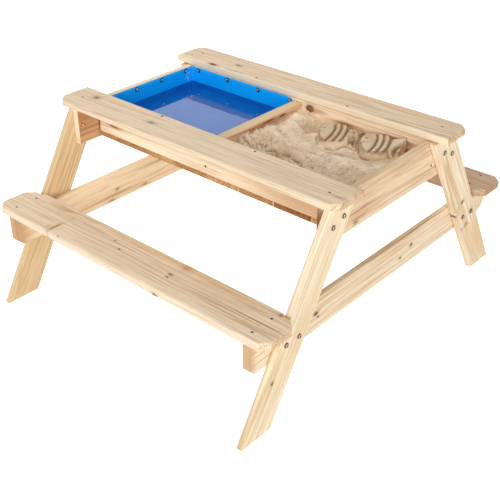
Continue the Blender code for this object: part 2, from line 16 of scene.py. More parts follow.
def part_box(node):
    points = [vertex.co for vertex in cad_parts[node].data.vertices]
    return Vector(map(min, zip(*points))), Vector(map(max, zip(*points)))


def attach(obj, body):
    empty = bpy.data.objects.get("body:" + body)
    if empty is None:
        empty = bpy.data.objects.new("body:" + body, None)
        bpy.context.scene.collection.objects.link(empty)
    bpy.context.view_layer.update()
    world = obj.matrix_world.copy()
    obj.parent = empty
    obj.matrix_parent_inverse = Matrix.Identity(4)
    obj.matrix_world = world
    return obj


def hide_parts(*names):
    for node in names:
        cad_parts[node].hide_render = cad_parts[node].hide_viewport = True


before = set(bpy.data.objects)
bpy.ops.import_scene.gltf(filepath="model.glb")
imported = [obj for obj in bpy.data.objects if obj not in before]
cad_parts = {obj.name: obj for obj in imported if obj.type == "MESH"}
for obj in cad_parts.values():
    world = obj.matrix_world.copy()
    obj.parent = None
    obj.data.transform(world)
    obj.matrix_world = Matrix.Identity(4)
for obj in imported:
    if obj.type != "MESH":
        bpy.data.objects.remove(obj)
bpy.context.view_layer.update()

BODY = "root"
MM = 0.001
WHITE = (1.0, 1.0, 1.0)

# Camera
CAMERA_PLACE = (1.3707, -1.5678, 1.372)
CAMERA_AIM = (0.1625, -0.2071, 0.25)
CAMERA_LENS = 63.6
CAMERA_SENSOR = 36.0
CAMERA_ROLL = -0.0034

# Light: a colour is written in linear light, a strength is the radiance that the world or a panel gives
WORLD_FILL = 0.24
# Panels: turn from the camera's side, height in degrees, distance, size, strength and colour
PANELS = {
    "front_panel": (-26.0, 17.0, 5.0, (5.0, 2.0), 5.0, (0.96, 1.0, 1.07)),
    "right_panel": (38.0, 12.0, 5.0, (3.0, 2.0), 4.2, (0.98, 1.0, 1.04)),
    "back_panel": (180.0, 30.0, 4.0, (4.2, 2.0), 0.9, (1.0, 1.0, 1.0)),
    "top_panel": (200.0, 62.0, 4.0, (1.8, 1.8), 6.0, (1.0, 1.0, 1.0)),
}
PANEL_AIM = (0.0, 0.0, 0.4)
FLOOR_SIZE = 30.0
FLOOR_GREY = 0.8
# The floor's own light: to the eye, and to the object as a lit studio floor throws back
FLOOR_SHOWN = 0.78
FLOOR_BOUNCE = 0.32

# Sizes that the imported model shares
CLEARANCE = 0.0003
BOLT_HEAD_RISE = 0.0045
BOLT_SHANK_RADIUS = 0.003
NUT_LENGTH = 0.005
NUT_CAP_RISE = 0.004
STUD_HEAD_RISE = 0.003
STUD_PIN_RADIUS = 0.0012
SCREW_RECESS_DEPTH = 0.0018
PLANK_SCREW_SPREAD = 0.308
PLANK_SCREW_FROM_EDGE = 0.046
BENCH_SCREW_PITCH = 0.062
BENCH_SCREW_SHIFT = 0.005
WALL_SCREW_FROM_BOTTOM = 0.02
LEG_SPLAY_DEGREES = 30.8
WATER_LEVEL = 0.4345


# Nodes of a shader


class Wiring:
    """Short calls for the nodes of one tree. A value is a number, a tuple or another node's socket."""

    def __init__(self, tree, kin="ShaderNode"):
        self.tree, self.kin = tree, kin

    def feed(self, socket, value):
        """Link a socket to another, or set its value. A colour can leave out its opacity."""
        if isinstance(value, bpy.types.NodeSocket):
            self.tree.links.new(value, socket)
        else:
            socket.default_value = (*value, 1.0)[:4] if socket.type == "RGBA" else value

    def add(self, kind, settings=None, **sockets):
        """A node with its settings and its inputs."""
        made = self.tree.nodes.new(self.kin + kind)
        for name, value in (settings or {}).items():
            setattr(made, name, value)
        for name, value in sockets.items():
            self.feed(made.inputs[name.replace("_", " ")], value)
        return made

    def fed(self, kind, settings, *values):
        """The outputs of a node with its settings and its first inputs, in their order."""
        made = self.add(kind, settings)
        for socket, value in zip(made.inputs, values):
            self.feed(socket, value)
        return made.outputs

    def math(self, operation, *values, clamp=False):
        """A result of numbers."""
        return self.fed("Math", {"operation": operation, "use_clamp": clamp}, *values)[0]

    def plus(self, *values, clamp=False):
        """A sum of two numbers."""
        return self.math("ADD", *values, clamp=clamp)

    def minus(self, *values):
        """The first number less the second."""
        return self.math("SUBTRACT", *values)

    def times(self, *values):
        """A product of two numbers."""
        return self.math("MULTIPLY", *values)

    def line(self, value, slope, start, clamp=False):
        """A number times a slope, plus a start."""
        return self.math("MULTIPLY_ADD", value, slope, start, clamp=clamp)

    def vector(self, operation, *values):
        """A result of vectors: a vector, or a number for a dot product or a length."""
        outputs = self.fed("VectorMath", {"operation": operation}, *values)
        return outputs["Value" if operation in ("DOT_PRODUCT", "LENGTH") else "Vector"]

    def noise(self, point, spread, detail=2.0, rough=0.5):
        """Noise from 0 to 1 whose patches are as long as 1/spread, along all axes or along each."""
        spread = spread if isinstance(spread, tuple) else (spread, spread, spread)
        stretched = self.vector("MULTIPLY", point, spread)
        return self.add("TexNoise", Vector=stretched, Scale=1.0, Detail=detail, Roughness=rough).outputs[0]

    def mix(self, share, low, high, blend="MIX"):
        """A colour between two."""
        made = self.add("Mix", {"data_type": "RGBA", "blend_type": blend, "clamp_factor": True})
        for socket, value in zip((made.inputs[0], made.inputs[6], made.inputs[7]), (share, low, high)):
            self.feed(socket, value)
        return made.outputs[2]

    def tinted(self, colour, tint):
        """A colour times another, or times a number."""
        if isinstance(tint, bpy.types.NodeSocket):
            tint = self.join(tint, tint, tint)
        return self.mix(1.0, colour, tint, "MULTIPLY")

    def fade(self, value, start, end, low=0.0, high=1.0):
        """A smooth step from low at start to high at end."""
        return self.fed("MapRange", {"interpolation_type": "SMOOTHSTEP"}, value, start, end, low, high)[0]

    def split(self, point):
        """The three numbers of a vector."""
        return self.fed("SeparateXYZ", None, point)

    def join(self, x, y, z):
        """A vector of three numbers."""
        return self.fed("CombineXYZ", None, x, y, z)[0]

    def place(self):
        """The point on the object, in metres."""
        return self.add("TexCoord").outputs["Object"]

    def dress(self, shader, colour, height, strength, distance, roughness=None):
        """Feed a shader its colour, a fine relief from a height and, where it varies, its roughness."""
        bump = self.add("Bump", Strength=strength, Distance=distance, Height=height)
        self.feed(shader.inputs["Base Color"], colour)
        self.feed(shader.inputs["Normal"], bump.outputs[0])
        if roughness is not None:
            self.feed(shader.inputs["Roughness"], roughness)


def node_group(name, takes, gives, kin="ShaderNode"):
    """A group of nodes: its tree's wiring, its inputs and its output's sockets, each listed by type."""
    tree = bpy.data.node_groups.new(name, kin + "Tree")
    for way, sockets in (("INPUT", takes), ("OUTPUT", gives)):
        for kind, labels in sockets.items():
            for label in labels.split():
                tree.interface.new_socket(label, in_out=way, socket_type="NodeSocket" + kind)
    inside, out = tree.nodes.new("NodeGroupInput"), tree.nodes.new("NodeGroupOutput")
    return Wiring(tree, kin), inside.outputs, out.inputs


def new_material(name, roughness=0.5, metallic=0.0, colour=(0.8, 0.8, 0.8), **shader_sockets):
    """A material with a Principled BSDF, and the wiring of its tree."""
    made = bpy.data.materials.new(name)
    made.use_nodes = True
    w, shader = Wiring(made.node_tree), made.node_tree.nodes["Principled BSDF"]
    shader_sockets.update(Base_Color=colour, Roughness=roughness, Metallic=metallic)
    for label, value in shader_sockets.items():
        w.feed(shader.inputs[label.replace("_", " ")], value)
    return made, w, shader


def emptied(holder):
    """The wiring of a material's or a world's own tree, with no nodes."""
    holder.use_nodes = True
    holder.node_tree.nodes.clear()
    return Wiring(holder.node_tree)


# Pine

# Waves that bend the rings: patches for each metre along, across and through, and reach
RING_WAVES = (((2.6, 13.0, 13.0), 0.016), ((6.0, 34.0, 34.0), 0.0065), ((14.0, 90.0, 90.0), 0.0024))
# Streaks of darker wood: patches for each metre, detail and strength
STREAKS = (((1.3, 11.0, 11.0), 1.0, 0.95), ((3.2, 120.0, 120.0), 2.0, 1.3), ((7.0, 290.0, 290.0), 2.0, 2.2))
RING_PATCHES = (1.7, 24.0, 24.0)
FIBRES = (38.0, 900.0, 900.0)
FLECKS = (60.0, 520.0, 520.0)
PORES = 700.0
BASE_DARKNESS = 0.17
CUT_END_TINT = (0.93, 0.83, 0.72)
MARK_RAGS = (160.0, 320.0, 320.0)


def pine_group():
    """Pine by growth rings about a pith, in board coordinates: X along the grain, Y across, Z through."""
    w, takes, gives = node_group(
        "pine",
        {"Vector": "Point Pith Slant Seed", "Float": "Ring Pull Contrast End", "Color": "Light Dark"},
        {"Color": "Colour", "Float": "Roughness Height"},
    )
    seeded = w.vector("ADD", takes["Point"], takes["Seed"])
    lean = w.vector("SCALE", takes["Slant"])
    w.feed(lean.node.inputs["Scale"], w.split(takes["Point"])[0])
    off = w.split(w.vector("ADD", w.vector("SUBTRACT", takes["Point"], takes["Pith"]), lean))
    bent = w.plus(w.vector("LENGTH", w.join(0.0, off[1], off[2])), takes["Pull"])
    for spread, reach in RING_WAVES:
        bent = w.line(w.minus(w.noise(seeded, spread), 0.5), reach, bent)
    rings = w.plus(w.math("DIVIDE", bent, takes["Ring"]), w.split(takes["Seed"])[0])
    uneven = w.add("TexNoise", {"noise_dimensions": "1D"}, W=rings, Scale=0.45, Detail=1.0).outputs[0]
    rings = w.line(uneven, 1.8, rings)
    share = w.math("FRACT", rings)
    chance = w.add("TexWhiteNoise", {"noise_dimensions": "1D"}, W=w.math("FLOOR", rings)).outputs["Value"]
    late = w.times(w.fade(share, 0.25, 0.92), w.fade(share, 0.93, 1.0, 1.0, 0.0))
    patches = w.fade(w.noise(seeded, RING_PATCHES), 0.32, 0.62, 0.15, 1.0)
    strength = w.line(w.math("POWER", chance, 1.6), 0.85, 0.15)
    late = w.times(late, w.times(strength, patches))
    fibre = w.noise(seeded, FIBRES, 3.0, 0.6)
    darkness = w.line(late, takes["Contrast"], BASE_DARKNESS)
    for spread, detail, reach in STREAKS:
        darkness = w.line(w.minus(w.noise(seeded, spread, detail), 0.5), reach, darkness)
    darkness = w.line(w.times(late, takes["End"]), 0.7, darkness, clamp=True)
    fleck = w.fade(w.noise(seeded, FLECKS), 0.64, 0.76, 1.0, 0.8)
    colour = w.mix(darkness, takes["Light"], takes["Dark"])
    colour = w.tinted(colour, w.times(w.line(fibre, 0.24, 0.88), fleck))
    pores = w.line(w.noise(seeded, PORES, 1.0), 0.35, 0.82)
    cut_end = w.tinted(w.tinted(colour, CUT_END_TINT), pores)
    w.feed(gives["Colour"], w.mix(takes["End"], colour, cut_end))
    w.feed(gives["Roughness"], w.plus(w.line(fibre, 0.22, 0.44), w.times(takes["End"], 0.25)))
    w.feed(gives["Height"], w.minus(fibre, w.times(late, 0.6)))
    return w.tree


def mark_group():
    """A knot, crack, stain, painted shade or painted highlight: how far a point lies inside it, in its halo,
    and its pull on the rings.
    """
    w, takes, gives = node_group(
        "mark", {"Vector": "Point Place Reach", "Float": "Edge"}, {"Float": "Inside Rim Halo Pull"}
    )
    off = w.vector("SUBTRACT", takes["Point"], takes["Place"])
    ragged = w.noise(takes["Point"], MARK_RAGS, 2.0)
    reach = w.vector("LENGTH", w.vector("DIVIDE", off, takes["Reach"]))
    near = w.times(reach, w.line(ragged, 0.5, 0.75))
    w.feed(gives["Inside"], w.fade(near, w.minus(1.05, takes["Edge"]), 1.05, 1.0, 0.0))
    w.feed(gives["Rim"], w.times(w.fade(near, 0.55, 0.9), w.fade(near, 0.95, 1.1, 1.0, 0.0)))
    w.feed(gives["Halo"], w.fade(near, 0.8, 2.6, 1.0, 0.0))
    across = w.split(takes["Reach"])[1]
    w.feed(gives["Pull"], w.times(w.math("EXPONENT", w.times(w.times(near, near), -0.16)), across))
    return w.tree


# A mark's kind: colour, how much it covers the wood, softness of its edge, dark rim, halo, pull on the rings
MARK_KINDS = {
    "knot": ((0.19, 0.072, 0.025), 0.94, 0.4, 0.65, 0.6, 1.0),
    "pin": ((0.17, 0.06, 0.02), 0.94, 0.45, 0.2, 0.5, 0.7),
    "red": ((0.44, 0.185, 0.085), 0.7, 0.7, 0.1, 0.4, 0.5),
    "smear": ((0.23, 0.135, 0.085), 0.8, 0.75, 0.1, 0.5, 0.6),
    "crack": ((0.3, 0.115, 0.032), 0.95, 0.45, 0.0, 0.4, 0.0),
    # joint paints the shade in the gap where two boards meet
    "joint": ((0.16, 0.07, 0.028), 0.9, 0.8, 0.0, 0.0, 0.0),
    # pale lightens the wood; along the rear plank's inner edge it is a painted highlight
    "pale": ((0.96, 0.8, 0.58), 0.85, 0.6, 0.0, 0.0, 0.0),
    "sliver": ((0.8, 0.59, 0.36), 0.8, 0.6, 0.0, 0.0, 0.0),
    "warm": ((0.8, 0.56, 0.33), 0.55, 0.98, 0.0, 0.0, 0.0),
    # dim dulls the wood; on the beams' front ends it paints the benches' shade over the end grain
    "dim": ((0.6, 0.37, 0.195), 0.9, 0.95, 0.0, 0.0, 0.0),
    "spike": ((0.38, 0.17, 0.062), 0.85, 0.75, 0.0, 0.3, 0.1),
    "chip": ((0.4, 0.35, 0.29), 0.8, 0.5, 0.0, 0.0, 0.0),
    "heart": ((0.78, 0.48, 0.21), 0.5, 0.95, 0.0, 0.0, 0.0),
    # flush warms the wood; just under the front plank it is warmer wood with the plank's painted shadow
    "flush": ((0.7, 0.39, 0.2), 0.55, 0.98, 0.0, 0.0, 0.0),
    # shade darkens the wood; under the planks' overhang, in a gap between boards and beside the sand it is
    # painted shade
    "shade": ((0.48, 0.235, 0.095), 0.66, 0.98, 0.0, 0.0, 0.0),
}

# Marks of the boards, in millimetres: kind, place on the board's face as two of its X, Y and Z, reach along
# the grain and across it. A mark that doesn't go right through has its third coordinate and its depth too.
RIGHT_THROUGH = 1.0
MARKS = {
    "front_top_plank": (
        ("smear", -372.8, -204.9, 11, 8.5), ("smear", -372.8, -204.9, 6, 5.5),
        ("smear", -146.8, -223.6, 14, 5.8), ("red", 433.1, -232.5, 16, 2.8), ("pin", -154.8, -177, 3, 2.2),
        ("heart", -300, -195, 220, 12),
    ),
    # Its long pale strip along the inner edge is a painted highlight
    "rear_top_plank": (
        ("knot", -317, 176.5, 12.5, 6.4, 500, 8), ("smear", -255.4, 217, 11, 4.8),
        ("smear", -255.4, 217, 6, 3), ("heart", 200, 250, 300, 15), ("pale", 0, 169, 1200, 2.6),
    ),
    "front_bench": (
        ("spike", -248.6, -472, 5.6, 32), ("flush", -264, -482, 16, 18), ("flush", -247.4, -416.2, 12, 6),
        ("chip", -207.4, -496, 7, 4, 273.5, 4), ("pin", -86.2, -417.6, 3, 2),
        ("pin", -49.2, -437.3, 4, 2.4), ("pin", 122.4, -433.8, 6.5, 2.8), ("pin", 123.8, -446.2, 4.5, 2.2),
        ("red", 131.7, -390, 15, 12), ("crack", 378, -439.1, 76, 1.5),
        ("pin", 135.5, -498.5, 9, 11, 254.5, 5.5), ("pin", 412.5, -389, 5.5, 5.2),
        ("heart", 100, -390, 500, 18),
    ),
    "rear_bench": (
        ("knot", -130, 420, 10, 7), ("pin", 210, 460, 5, 2.8), ("heart", -100, 470, 400, 16),
    ),
    # The dim mark on the front end paints the bench's shade over the end grain
    "cross_beam_right": (
        ("knot", 122.4, 214.9, 5.8, 4.4), ("pin", 75.2, 197.1, 4.6, 3.4), ("knot", -267, 211.1, 7, 4.6),
        ("pin", -258.3, 199.2, 3.5, 3), ("flush", 80, 230, 150, 14), ("flush", -120, 185, 180, 12),
        ("dim", -495, 208, 30, 200),
    ),
    # The dim marks on the front end paint the bench's shade over the end grain
    "cross_beam_left": (
        ("red", -146.2, 199.1, 9, 4.4), ("red", -42.1, 175.8, 12, 3.6), ("red", -170, 172, 15, 4),
        ("shade", 50, 230, 180, 8), ("shade", -150, 185, 130, 6), ("pin", -488, 200, 3, 2.6),
        ("dim", -495, 208, 70, 200), ("dim", -495, 208, 40, 200),
    ),
    # The joint paints the shade in the gap at the wall's front end
    "end_wall_right": (
        ("flush", -100, 405, 110, 13), ("shade", -135, 415, 45, 6), ("red", -116.3, 398, 38, 2.6),
        ("red", -95, 419, 30, 2), ("smear", -133, 390, 9, 5), ("joint", -257, 430, 4, 70),
    ),
    # The upper shade mark paints the planks' shadow on the inside; the joint and the shade at the front end
    # paint the shade in the gap there
    "end_wall_left": (
        ("shade", -230, 452, 120, 24), ("pale", -257.5, 430, 3.5, 120), ("shade", -252, 425, 5, 90),
        ("joint", -187.8, 437.5, 3, 70), ("heart", -230, 390, 150, 10), ("pale", 0, 480.7, 1200, 4),
    ),
    # Low on its sides above the sand, shade marks paint shade, and a crack, a red streak and pins darken the
    # same strip
    "divider": (
        ("sliver", 0, 474.5, 1200, 3.4), ("shade", 70, 460, 130, 9), ("crack", -40, 464, 34, 3),
        ("shade", 10, 464, 120, 7), ("red", 20, 456, 60, 5), ("pin", 35, 466, 26, 2.4),
        ("pin", 90, 464, 13, 3.4),
    ),
    # Just under the plank, the shade mark paints the plank's shadow and the flush band is warmer wood with
    # that painted shadow; the joints paint the shade in the gaps at the wall's ends
    "side_wall_front": (
        ("red", -333, 423.5, 34, 7), ("crack", -336, 422.2, 19, 3.4), ("shade", -350, 438, 70, 6),
        ("dim", 330, 425, 260, 60), ("pale", -230, 406, 180, 15), ("joint", -395.5, 437.5, 3.6, 70),
        ("joint", 395.5, 437.5, 4, 70), ("flush", 150, 437, 350, 7),
    ),
    "base_slat_5": (
        ("sliver", 108.7, -187, 20, 3),
    ),
    "base_slat_6": (
        ("sliver", 108.7, -187, 20, 2.6), ("sliver", 217.4, -187, 20, 3.2),
    ),
    # The joint paints the shade in the gap beside this slat
    "base_slat_7": (
        ("sliver", 217.4, -187, 20, 2.4), ("joint", 326.2, -187, 20, 5),
    ),
    "side_wall_rear": (
        ("knot", 40, 464, 13, 10), ("shade", 70, 464, 40, 9), ("red", 156, 453, 30, 4.4),
        ("shade", 150, 452, 42, 9), ("crack", 198, 442, 26, 3.4), ("shade", 245, 450, 20, 6),
        ("red", 320, 458.5, 42, 4), ("shade", 340, 453, 40, 9),
    ),
    "leg_front_right": (
        ("pin", -438.4, 126.7, 5.2, 3.6), ("heart", -330, 230, 280, 21),
    ),
    "leg_rear_right": (
        ("knot", 305.5, 217.6, 5.2, 7.6), ("knot", 374.2, 171.4, 5.6, 6.4),
        ("knot", 390.8, 207.6, 5.2, 6.2), ("knot", 334.3, 255, 5.4, 7), ("red", 356.5, 161, 8, 3),
        ("heart", 330, 240, 300, 15), ("warm", 460, 120, 150, 80), ("heart", 470, 100, 120, 80),
    ),
    "leg_front_left": (
        ("heart", -340, 300, 60, 16),
    ),
    "leg_rear_left": (
        ("knot", 400, 190, 7, 5.5),
    ),
}
# Tones of pine: pale wood between the rings, and the rings
PALE = ((0.935, 0.795, 0.57), (0.7, 0.48, 0.245))
CREAM = ((0.89, 0.725, 0.505), (0.58, 0.345, 0.16))
STRAW = ((0.95, 0.805, 0.595), (0.67, 0.445, 0.235))
SEAT = ((0.855, 0.675, 0.47), (0.53, 0.32, 0.16))
BENCH = ((0.885, 0.71, 0.51), (0.56, 0.35, 0.19))
YELLOW = ((0.82, 0.62, 0.37), (0.62, 0.385, 0.17))
TAN = ((0.84, 0.63, 0.41), (0.5, 0.28, 0.125))
PINK = ((0.96, 0.76, 0.53), (0.62, 0.33, 0.155))
# RUSSET, for the left end wall: a darker, more orange wood, with painted shade and warm light thrown back
# under the planks
RUSSET = ((0.66, 0.4, 0.205), (0.38, 0.16, 0.06))
FAWN = ((0.76, 0.52, 0.32), (0.42, 0.2, 0.085))
# PEACH, for the left beam: paler and warmer, with painted warm light thrown back onto its inner face
PEACH = ((1.0, 0.81, 0.54), (0.82, 0.46, 0.2))
# BROWN, for the rear bench: a browner wood, with painted shade
BROWN = ((0.64, 0.44, 0.285), (0.34, 0.19, 0.105))
AMBER = ((0.62, 0.375, 0.18), (0.34, 0.15, 0.055))

# Boards: tone, pith beside the board's middle (across, through), ring width, contrast
BOARDS = {
    "front_top_plank": (SEAT, (0.03, -0.06), 0.0062, 0.5),
    "rear_top_plank": (SEAT, (-0.045, -0.05), 0.0066, 0.55),
    "front_bench": (BENCH, (0.05, -0.06), 0.0047, 0.6),
    # Its tone holds painted shade
    "rear_bench": (BROWN, (-0.06, -0.045), 0.0052, 0.75),
    "leg_front_left": (YELLOW, (0.03, -0.045), 0.009, 0.8),
    "leg_front_right": (PALE, (-0.07, 0.02), 0.0085, 0.55),
    "leg_rear_left": (CREAM, (0.05, 0.04), 0.007, 0.7),
    "leg_rear_right": (STRAW, (0.02, -0.045), 0.0072, 0.9),
    # Its tone holds painted light thrown back onto it
    "cross_beam_left": (PEACH, (0.015, 0.045), 0.007, 0.9),
    "cross_beam_right": (CREAM, (-0.02, -0.045), 0.008, 0.85),
    # Its tone holds painted shade and warm light thrown back
    "end_wall_left": (RUSSET, (0.01, 0.045), 0.0075, 0.75),
    "end_wall_right": (TAN, (0.02, -0.05), 0.008, 0.95),
    "side_wall_front": (CREAM, (0.035, 0.04), 0.008, 0.9),
    "side_wall_rear": (PINK, (-0.05, -0.035), 0.007, 0.9),
    "divider": (FAWN, (0.02, 0.06), 0.007, 0.85),
}
SLAT_COUNT = 8
SLAT_LIGHTNESS = (0.9, 0.8, 1.1, 0.92, 1.25, 0.95, 0.55, 1.15)
SLAT_FADES = (0.8, 1.1, 1.5)
for slat, lightness in enumerate(SLAT_LIGHTNESS, start=1):
    shares = [lightness**fade for fade in SLAT_FADES]
    slat_tone = tuple(tuple(part * share for part, share in zip(paint, shares)) for paint in AMBER)
    BOARDS[f"base_slat_{slat}"] = (slat_tone, (0.03 - 0.012 * (slat % 4), 0.03), 0.0048, 0.6)


def board_axes(name):
    """A board's middle and its three directions: along the grain, across it and through the board."""
    low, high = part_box(name)
    size = high - low
    grain, through = Vector(), Vector()
    if name.startswith("leg_"):
        side = 1.0 if "rear" in name else -1.0
        splay = math.radians(LEG_SPLAY_DEGREES)
        grain = Vector((0.0, -side * math.sin(splay), math.cos(splay)))
        through.x = 1.0
    else:
        order = sorted(range(3), key=lambda axis: -size[axis])
        grain[1 if name.startswith("base_slat") else order[0]] = 1.0
        through[order[2]] = 1.0
    return (low + high) / 2, grain, through.cross(grain), through


def board_material(name, number, pine, mark):
    """The pine of one board, with its own rings and marks."""
    tone, pith, ring, contrast = BOARDS[name]
    middle, grain, across, through = axes = board_axes(name)
    material, w, shader = new_material("pine_" + name, IOR=1.45, Specular_IOR_Level=0.16)
    coordinates = w.add("TexCoord")
    off = w.vector("SUBTRACT", coordinates.outputs["Object"], tuple(middle))
    point = w.join(*(w.vector("DOT_PRODUCT", off, tuple(axis)) for axis in axes[1:]))
    facing = w.math("ABSOLUTE", w.vector("DOT_PRODUCT", coordinates.outputs["Normal"], tuple(grain)))

    pull, marks = 0.0, []
    for kind, first, second, along, wide, *deep in MARKS.get(name, ()):
        level, depth = (deep[0] * MM, deep[1] * MM) if deep else (middle.dot(through), RIGHT_THROUGH)
        place = [first * MM, second * MM]
        place.insert(tuple(through).index(1.0), level)
        local = Vector(place) - middle
        gives = w.add(
            "Group", {"node_tree": mark}, Point=point, Place=[local.dot(axis) for axis in axes[1:]],
            Reach=(along * MM, wide * MM, depth), Edge=MARK_KINDS[kind][2],
        ).outputs
        marks.append((gives, MARK_KINDS[kind]))
        pull = w.plus(pull, w.times(gives["Pull"], MARK_KINDS[kind][5]))
    seed = (number * 1.37, number * 0.731 + 0.2, number * 0.417)
    slant = (0.0, 0.012 * math.sin(number * 2.1), 0.03 * math.cos(number * 1.7))
    end = w.fade(facing, 0.55, 0.9)
    wood = w.add(
        "Group", {"node_tree": pine}, Point=point, Seed=seed, Slant=slant, Ring=ring, End=end,
        Pith=(0.0, *pith), Pull=pull, Light=tone[0], Dark=tone[1], Contrast=contrast,
    ).outputs
    colour, height = wood["Colour"], wood["Height"]
    for gives, (paint, cover, _, rim, halo, _) in marks:
        covered = w.times(gives["Inside"], cover)
        colour = w.mix(w.times(gives["Halo"], halo), colour, w.mix(0.55, colour, paint))
        colour = w.mix(covered, colour, paint)
        colour = w.mix(w.times(gives["Rim"], rim), colour, tuple(part * 0.45 for part in paint))
        height = w.minus(height, covered)
    w.dress(shader, colour, height, 0.25, 0.0006, wood["Roughness"])
    return material


WELD_DISTANCE = 0.00001
SHARP_BOARD_DEGREES = 50.0


def smooth_edges_group():
    """Geometry nodes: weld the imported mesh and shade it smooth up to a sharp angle."""
    w, takes, gives = node_group("smooth_edges", {"Geometry": "Mesh"}, {"Geometry": "Mesh"}, "GeometryNode")
    weld = w.add("MergeByDistance", Geometry=takes["Mesh"], Distance=WELD_DISTANCE)
    smooth = w.add("SetShadeSmooth", Geometry=weld.outputs[0])
    steep = w.tree.nodes.new("FunctionNodeCompare")
    steep.operation = "GREATER_THAN"
    w.feed(steep.inputs[0], w.add("InputMeshEdgeAngle").outputs["Unsigned Angle"])
    w.feed(steep.inputs[1], math.radians(SHARP_BOARD_DEGREES))
    sharp = w.add("SetShadeSmooth", {"domain": "EDGE"}, Geometry=smooth.outputs[0], Shade_Smooth=False)
    w.feed(sharp.inputs["Selection"], steep.outputs[0])
    w.feed(gives["Mesh"], sharp.outputs[0])
    return w.tree


def dress_boards():
    """Pine on every board, and its rounded edges shaded smooth."""
    pine, mark, smooth = pine_group(), mark_group(), smooth_edges_group()
    for number, name in enumerate(BOARDS, start=1):
        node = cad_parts[name]
        material = board_material(name, number, pine, mark)
        for held in node.material_slots:
            held.material = material
        node.modifiers.new("smooth_edges", "NODES").node_group = smooth
        node.modifiers.new("weighted_normals", "WEIGHTED_NORMAL").keep_sharp = True


# Pieces


def linked_object(name, data):
    """An object in the scene."""
    made = bpy.data.objects.new(name, data)
    bpy.context.scene.collection.objects.link(made)
    return made


def add_piece(name, mesh, materials, nodes=()):
    """A piece of the object: its materials, its body and the nodes that it stands for."""
    piece = linked_object(name, mesh)
    for material in materials:
        mesh.materials.append(material)
    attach(piece, BODY)
    if nodes:
        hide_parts(*nodes)
    return piece


def finish_mesh(shape, name, sharp_degrees=40.0):
    """A smooth shaded mesh of a bmesh, its normals facing out."""
    bmesh.ops.recalc_face_normals(shape, faces=shape.faces)
    mesh = bpy.data.meshes.new(name)
    shape.to_mesh(mesh)
    shape.free()
    mesh.shade_smooth()
    mesh.set_sharp_from_angle(angle=math.radians(sharp_degrees))
    return mesh


def nodes_of(kind):
    """The names of the nodes of one kind."""
    return sorted(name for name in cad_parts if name.startswith(kind))


def middle_and_size(name):
    """The middle and the size of a node's box."""
    low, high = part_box(name)
    return (low + high) / 2, high - low


def turned_shape(rings, steps):
    """A closed turned solid between two poles. A ring is a radius, a height and maybe a hexagonal share."""
    shape = bmesh.new()
    loops = []
    for radius, height, *hexagonal in rings:
        if radius == 0.0:
            loops.append([shape.verts.new((0.0, 0.0, height))])
            continue
        loop = []
        for step in range(steps):
            angle = 2.0 * math.pi * step / steps
            off_flat = (angle % math.radians(60.0)) - math.radians(30.0)
            reach = radius * (1.0 + sum(hexagonal) * (1.0 / math.cos(off_flat) - 1.0))
            loop.append(shape.verts.new((reach * math.cos(angle), reach * math.sin(angle), height)))
        loops.append(loop)
    for upper, lower in zip(loops, loops[1:]):
        for step in range(steps):
            after = (step + 1) % steps
            corner = [upper[step % len(upper)], lower[step % len(lower)]]
            if len(lower) > 1:
                corner.append(lower[after])
            if len(upper) > 1:
                corner.append(upper[after])
            shape.faces.new(corner)
    return shape


def dome_rings(radius, rise, base, steps, inner=0.0):
    """Rings of a dome from its top, or from an inner radius, down to its rim."""
    start = math.asin(inner / radius)
    angles = [start + (math.radians(90.0) - start) * i / steps for i in range(steps + 1)]
    return [(radius * math.sin(a), base + rise * math.cos(a)) for a in angles]


def eased(share):
    """A share from 0 to 1 with soft ends."""
    return share * share * (3.0 - 2.0 * share)


def skinned(rings):
    """A bmesh with faces between rings of equally many points, and one that closes the last ring."""
    shape = bmesh.new()
    loops = [[shape.verts.new(point) for point in ring] for ring in rings]
    for upper, lower in zip(loops, loops[1:]):
        for index in range(len(upper)):
            after = (index + 1) % len(upper)
            shape.faces.new((upper[index], lower[index], lower[after], upper[after]))
    shape.faces.new(loops[-1])
    return shape


# Metals

# Colour, roughness, stain, how much of it, how metallic, gloss
METALS = {
    "zinc": ((0.42, 0.36, 0.25), 0.34, (0.16, 0.12, 0.07), 0.7, 1.0, 0.5),
    # Dark metal for the bolts' sockets and head rims: grime, with painted shade in the socket and round the
    # rim
    "grime_and_shade": ((0.13, 0.085, 0.05), 0.6, (0.05, 0.03, 0.02), 0.5, 0.3, 0.5),
    "brass": ((0.72, 0.44, 0.17), 0.26, (0.16, 0.07, 0.03), 0.75, 1.0, 0.5),
    "nickel": ((0.9, 0.86, 0.8), 0.16, (0.55, 0.5, 0.44), 0.4, 1.0, 0.5),
    # Near-black metal round the studs' rims: painted dark reflection and shade
    "rim_shade_and_reflection": ((0.045, 0.035, 0.032), 0.42, (0.02, 0.016, 0.014), 0.6, 1.0, 0.5),
    "screw_zinc": ((0.085, 0.045, 0.028), 0.6, (0.04, 0.02, 0.012), 0.8, 0.0, 0.15),
}
STAIN_PATCHES = 420.0
SCRATCHES = (900.0, 2600.0, 2600.0)


def metal_material(name):
    """A plated metal with fine scratches and a duller stain in patches."""
    colour, roughness, stain, stain_share, metallic, gloss = METALS[name]
    material, w, shader = new_material(name, roughness, metallic, colour, Specular_IOR_Level=gloss)
    place = w.place()
    patches = w.times(w.fade(w.noise(place, STAIN_PATCHES, 3.0), 0.42, 0.66), stain_share)
    scratches = w.noise(place, SCRATCHES, 2.0)
    dull = w.plus(w.line(scratches, 0.22, roughness - 0.11), w.times(patches, 0.25))
    w.dress(shader, w.mix(patches, colour, stain), scratches, 0.12, 0.0001, dull)
    return material


BOLT_STEPS = 36
SOCKET_RADIUS = 0.002
SOCKET_DEPTH = 0.0024
SOCKET_RIM = 0.0027
# Beyond this share of the radius the bolt head's rim is painted with shade
BOLT_SHADED_RIM_SHARE = 0.8
NUT_SHARE = 11.0 / 13.0


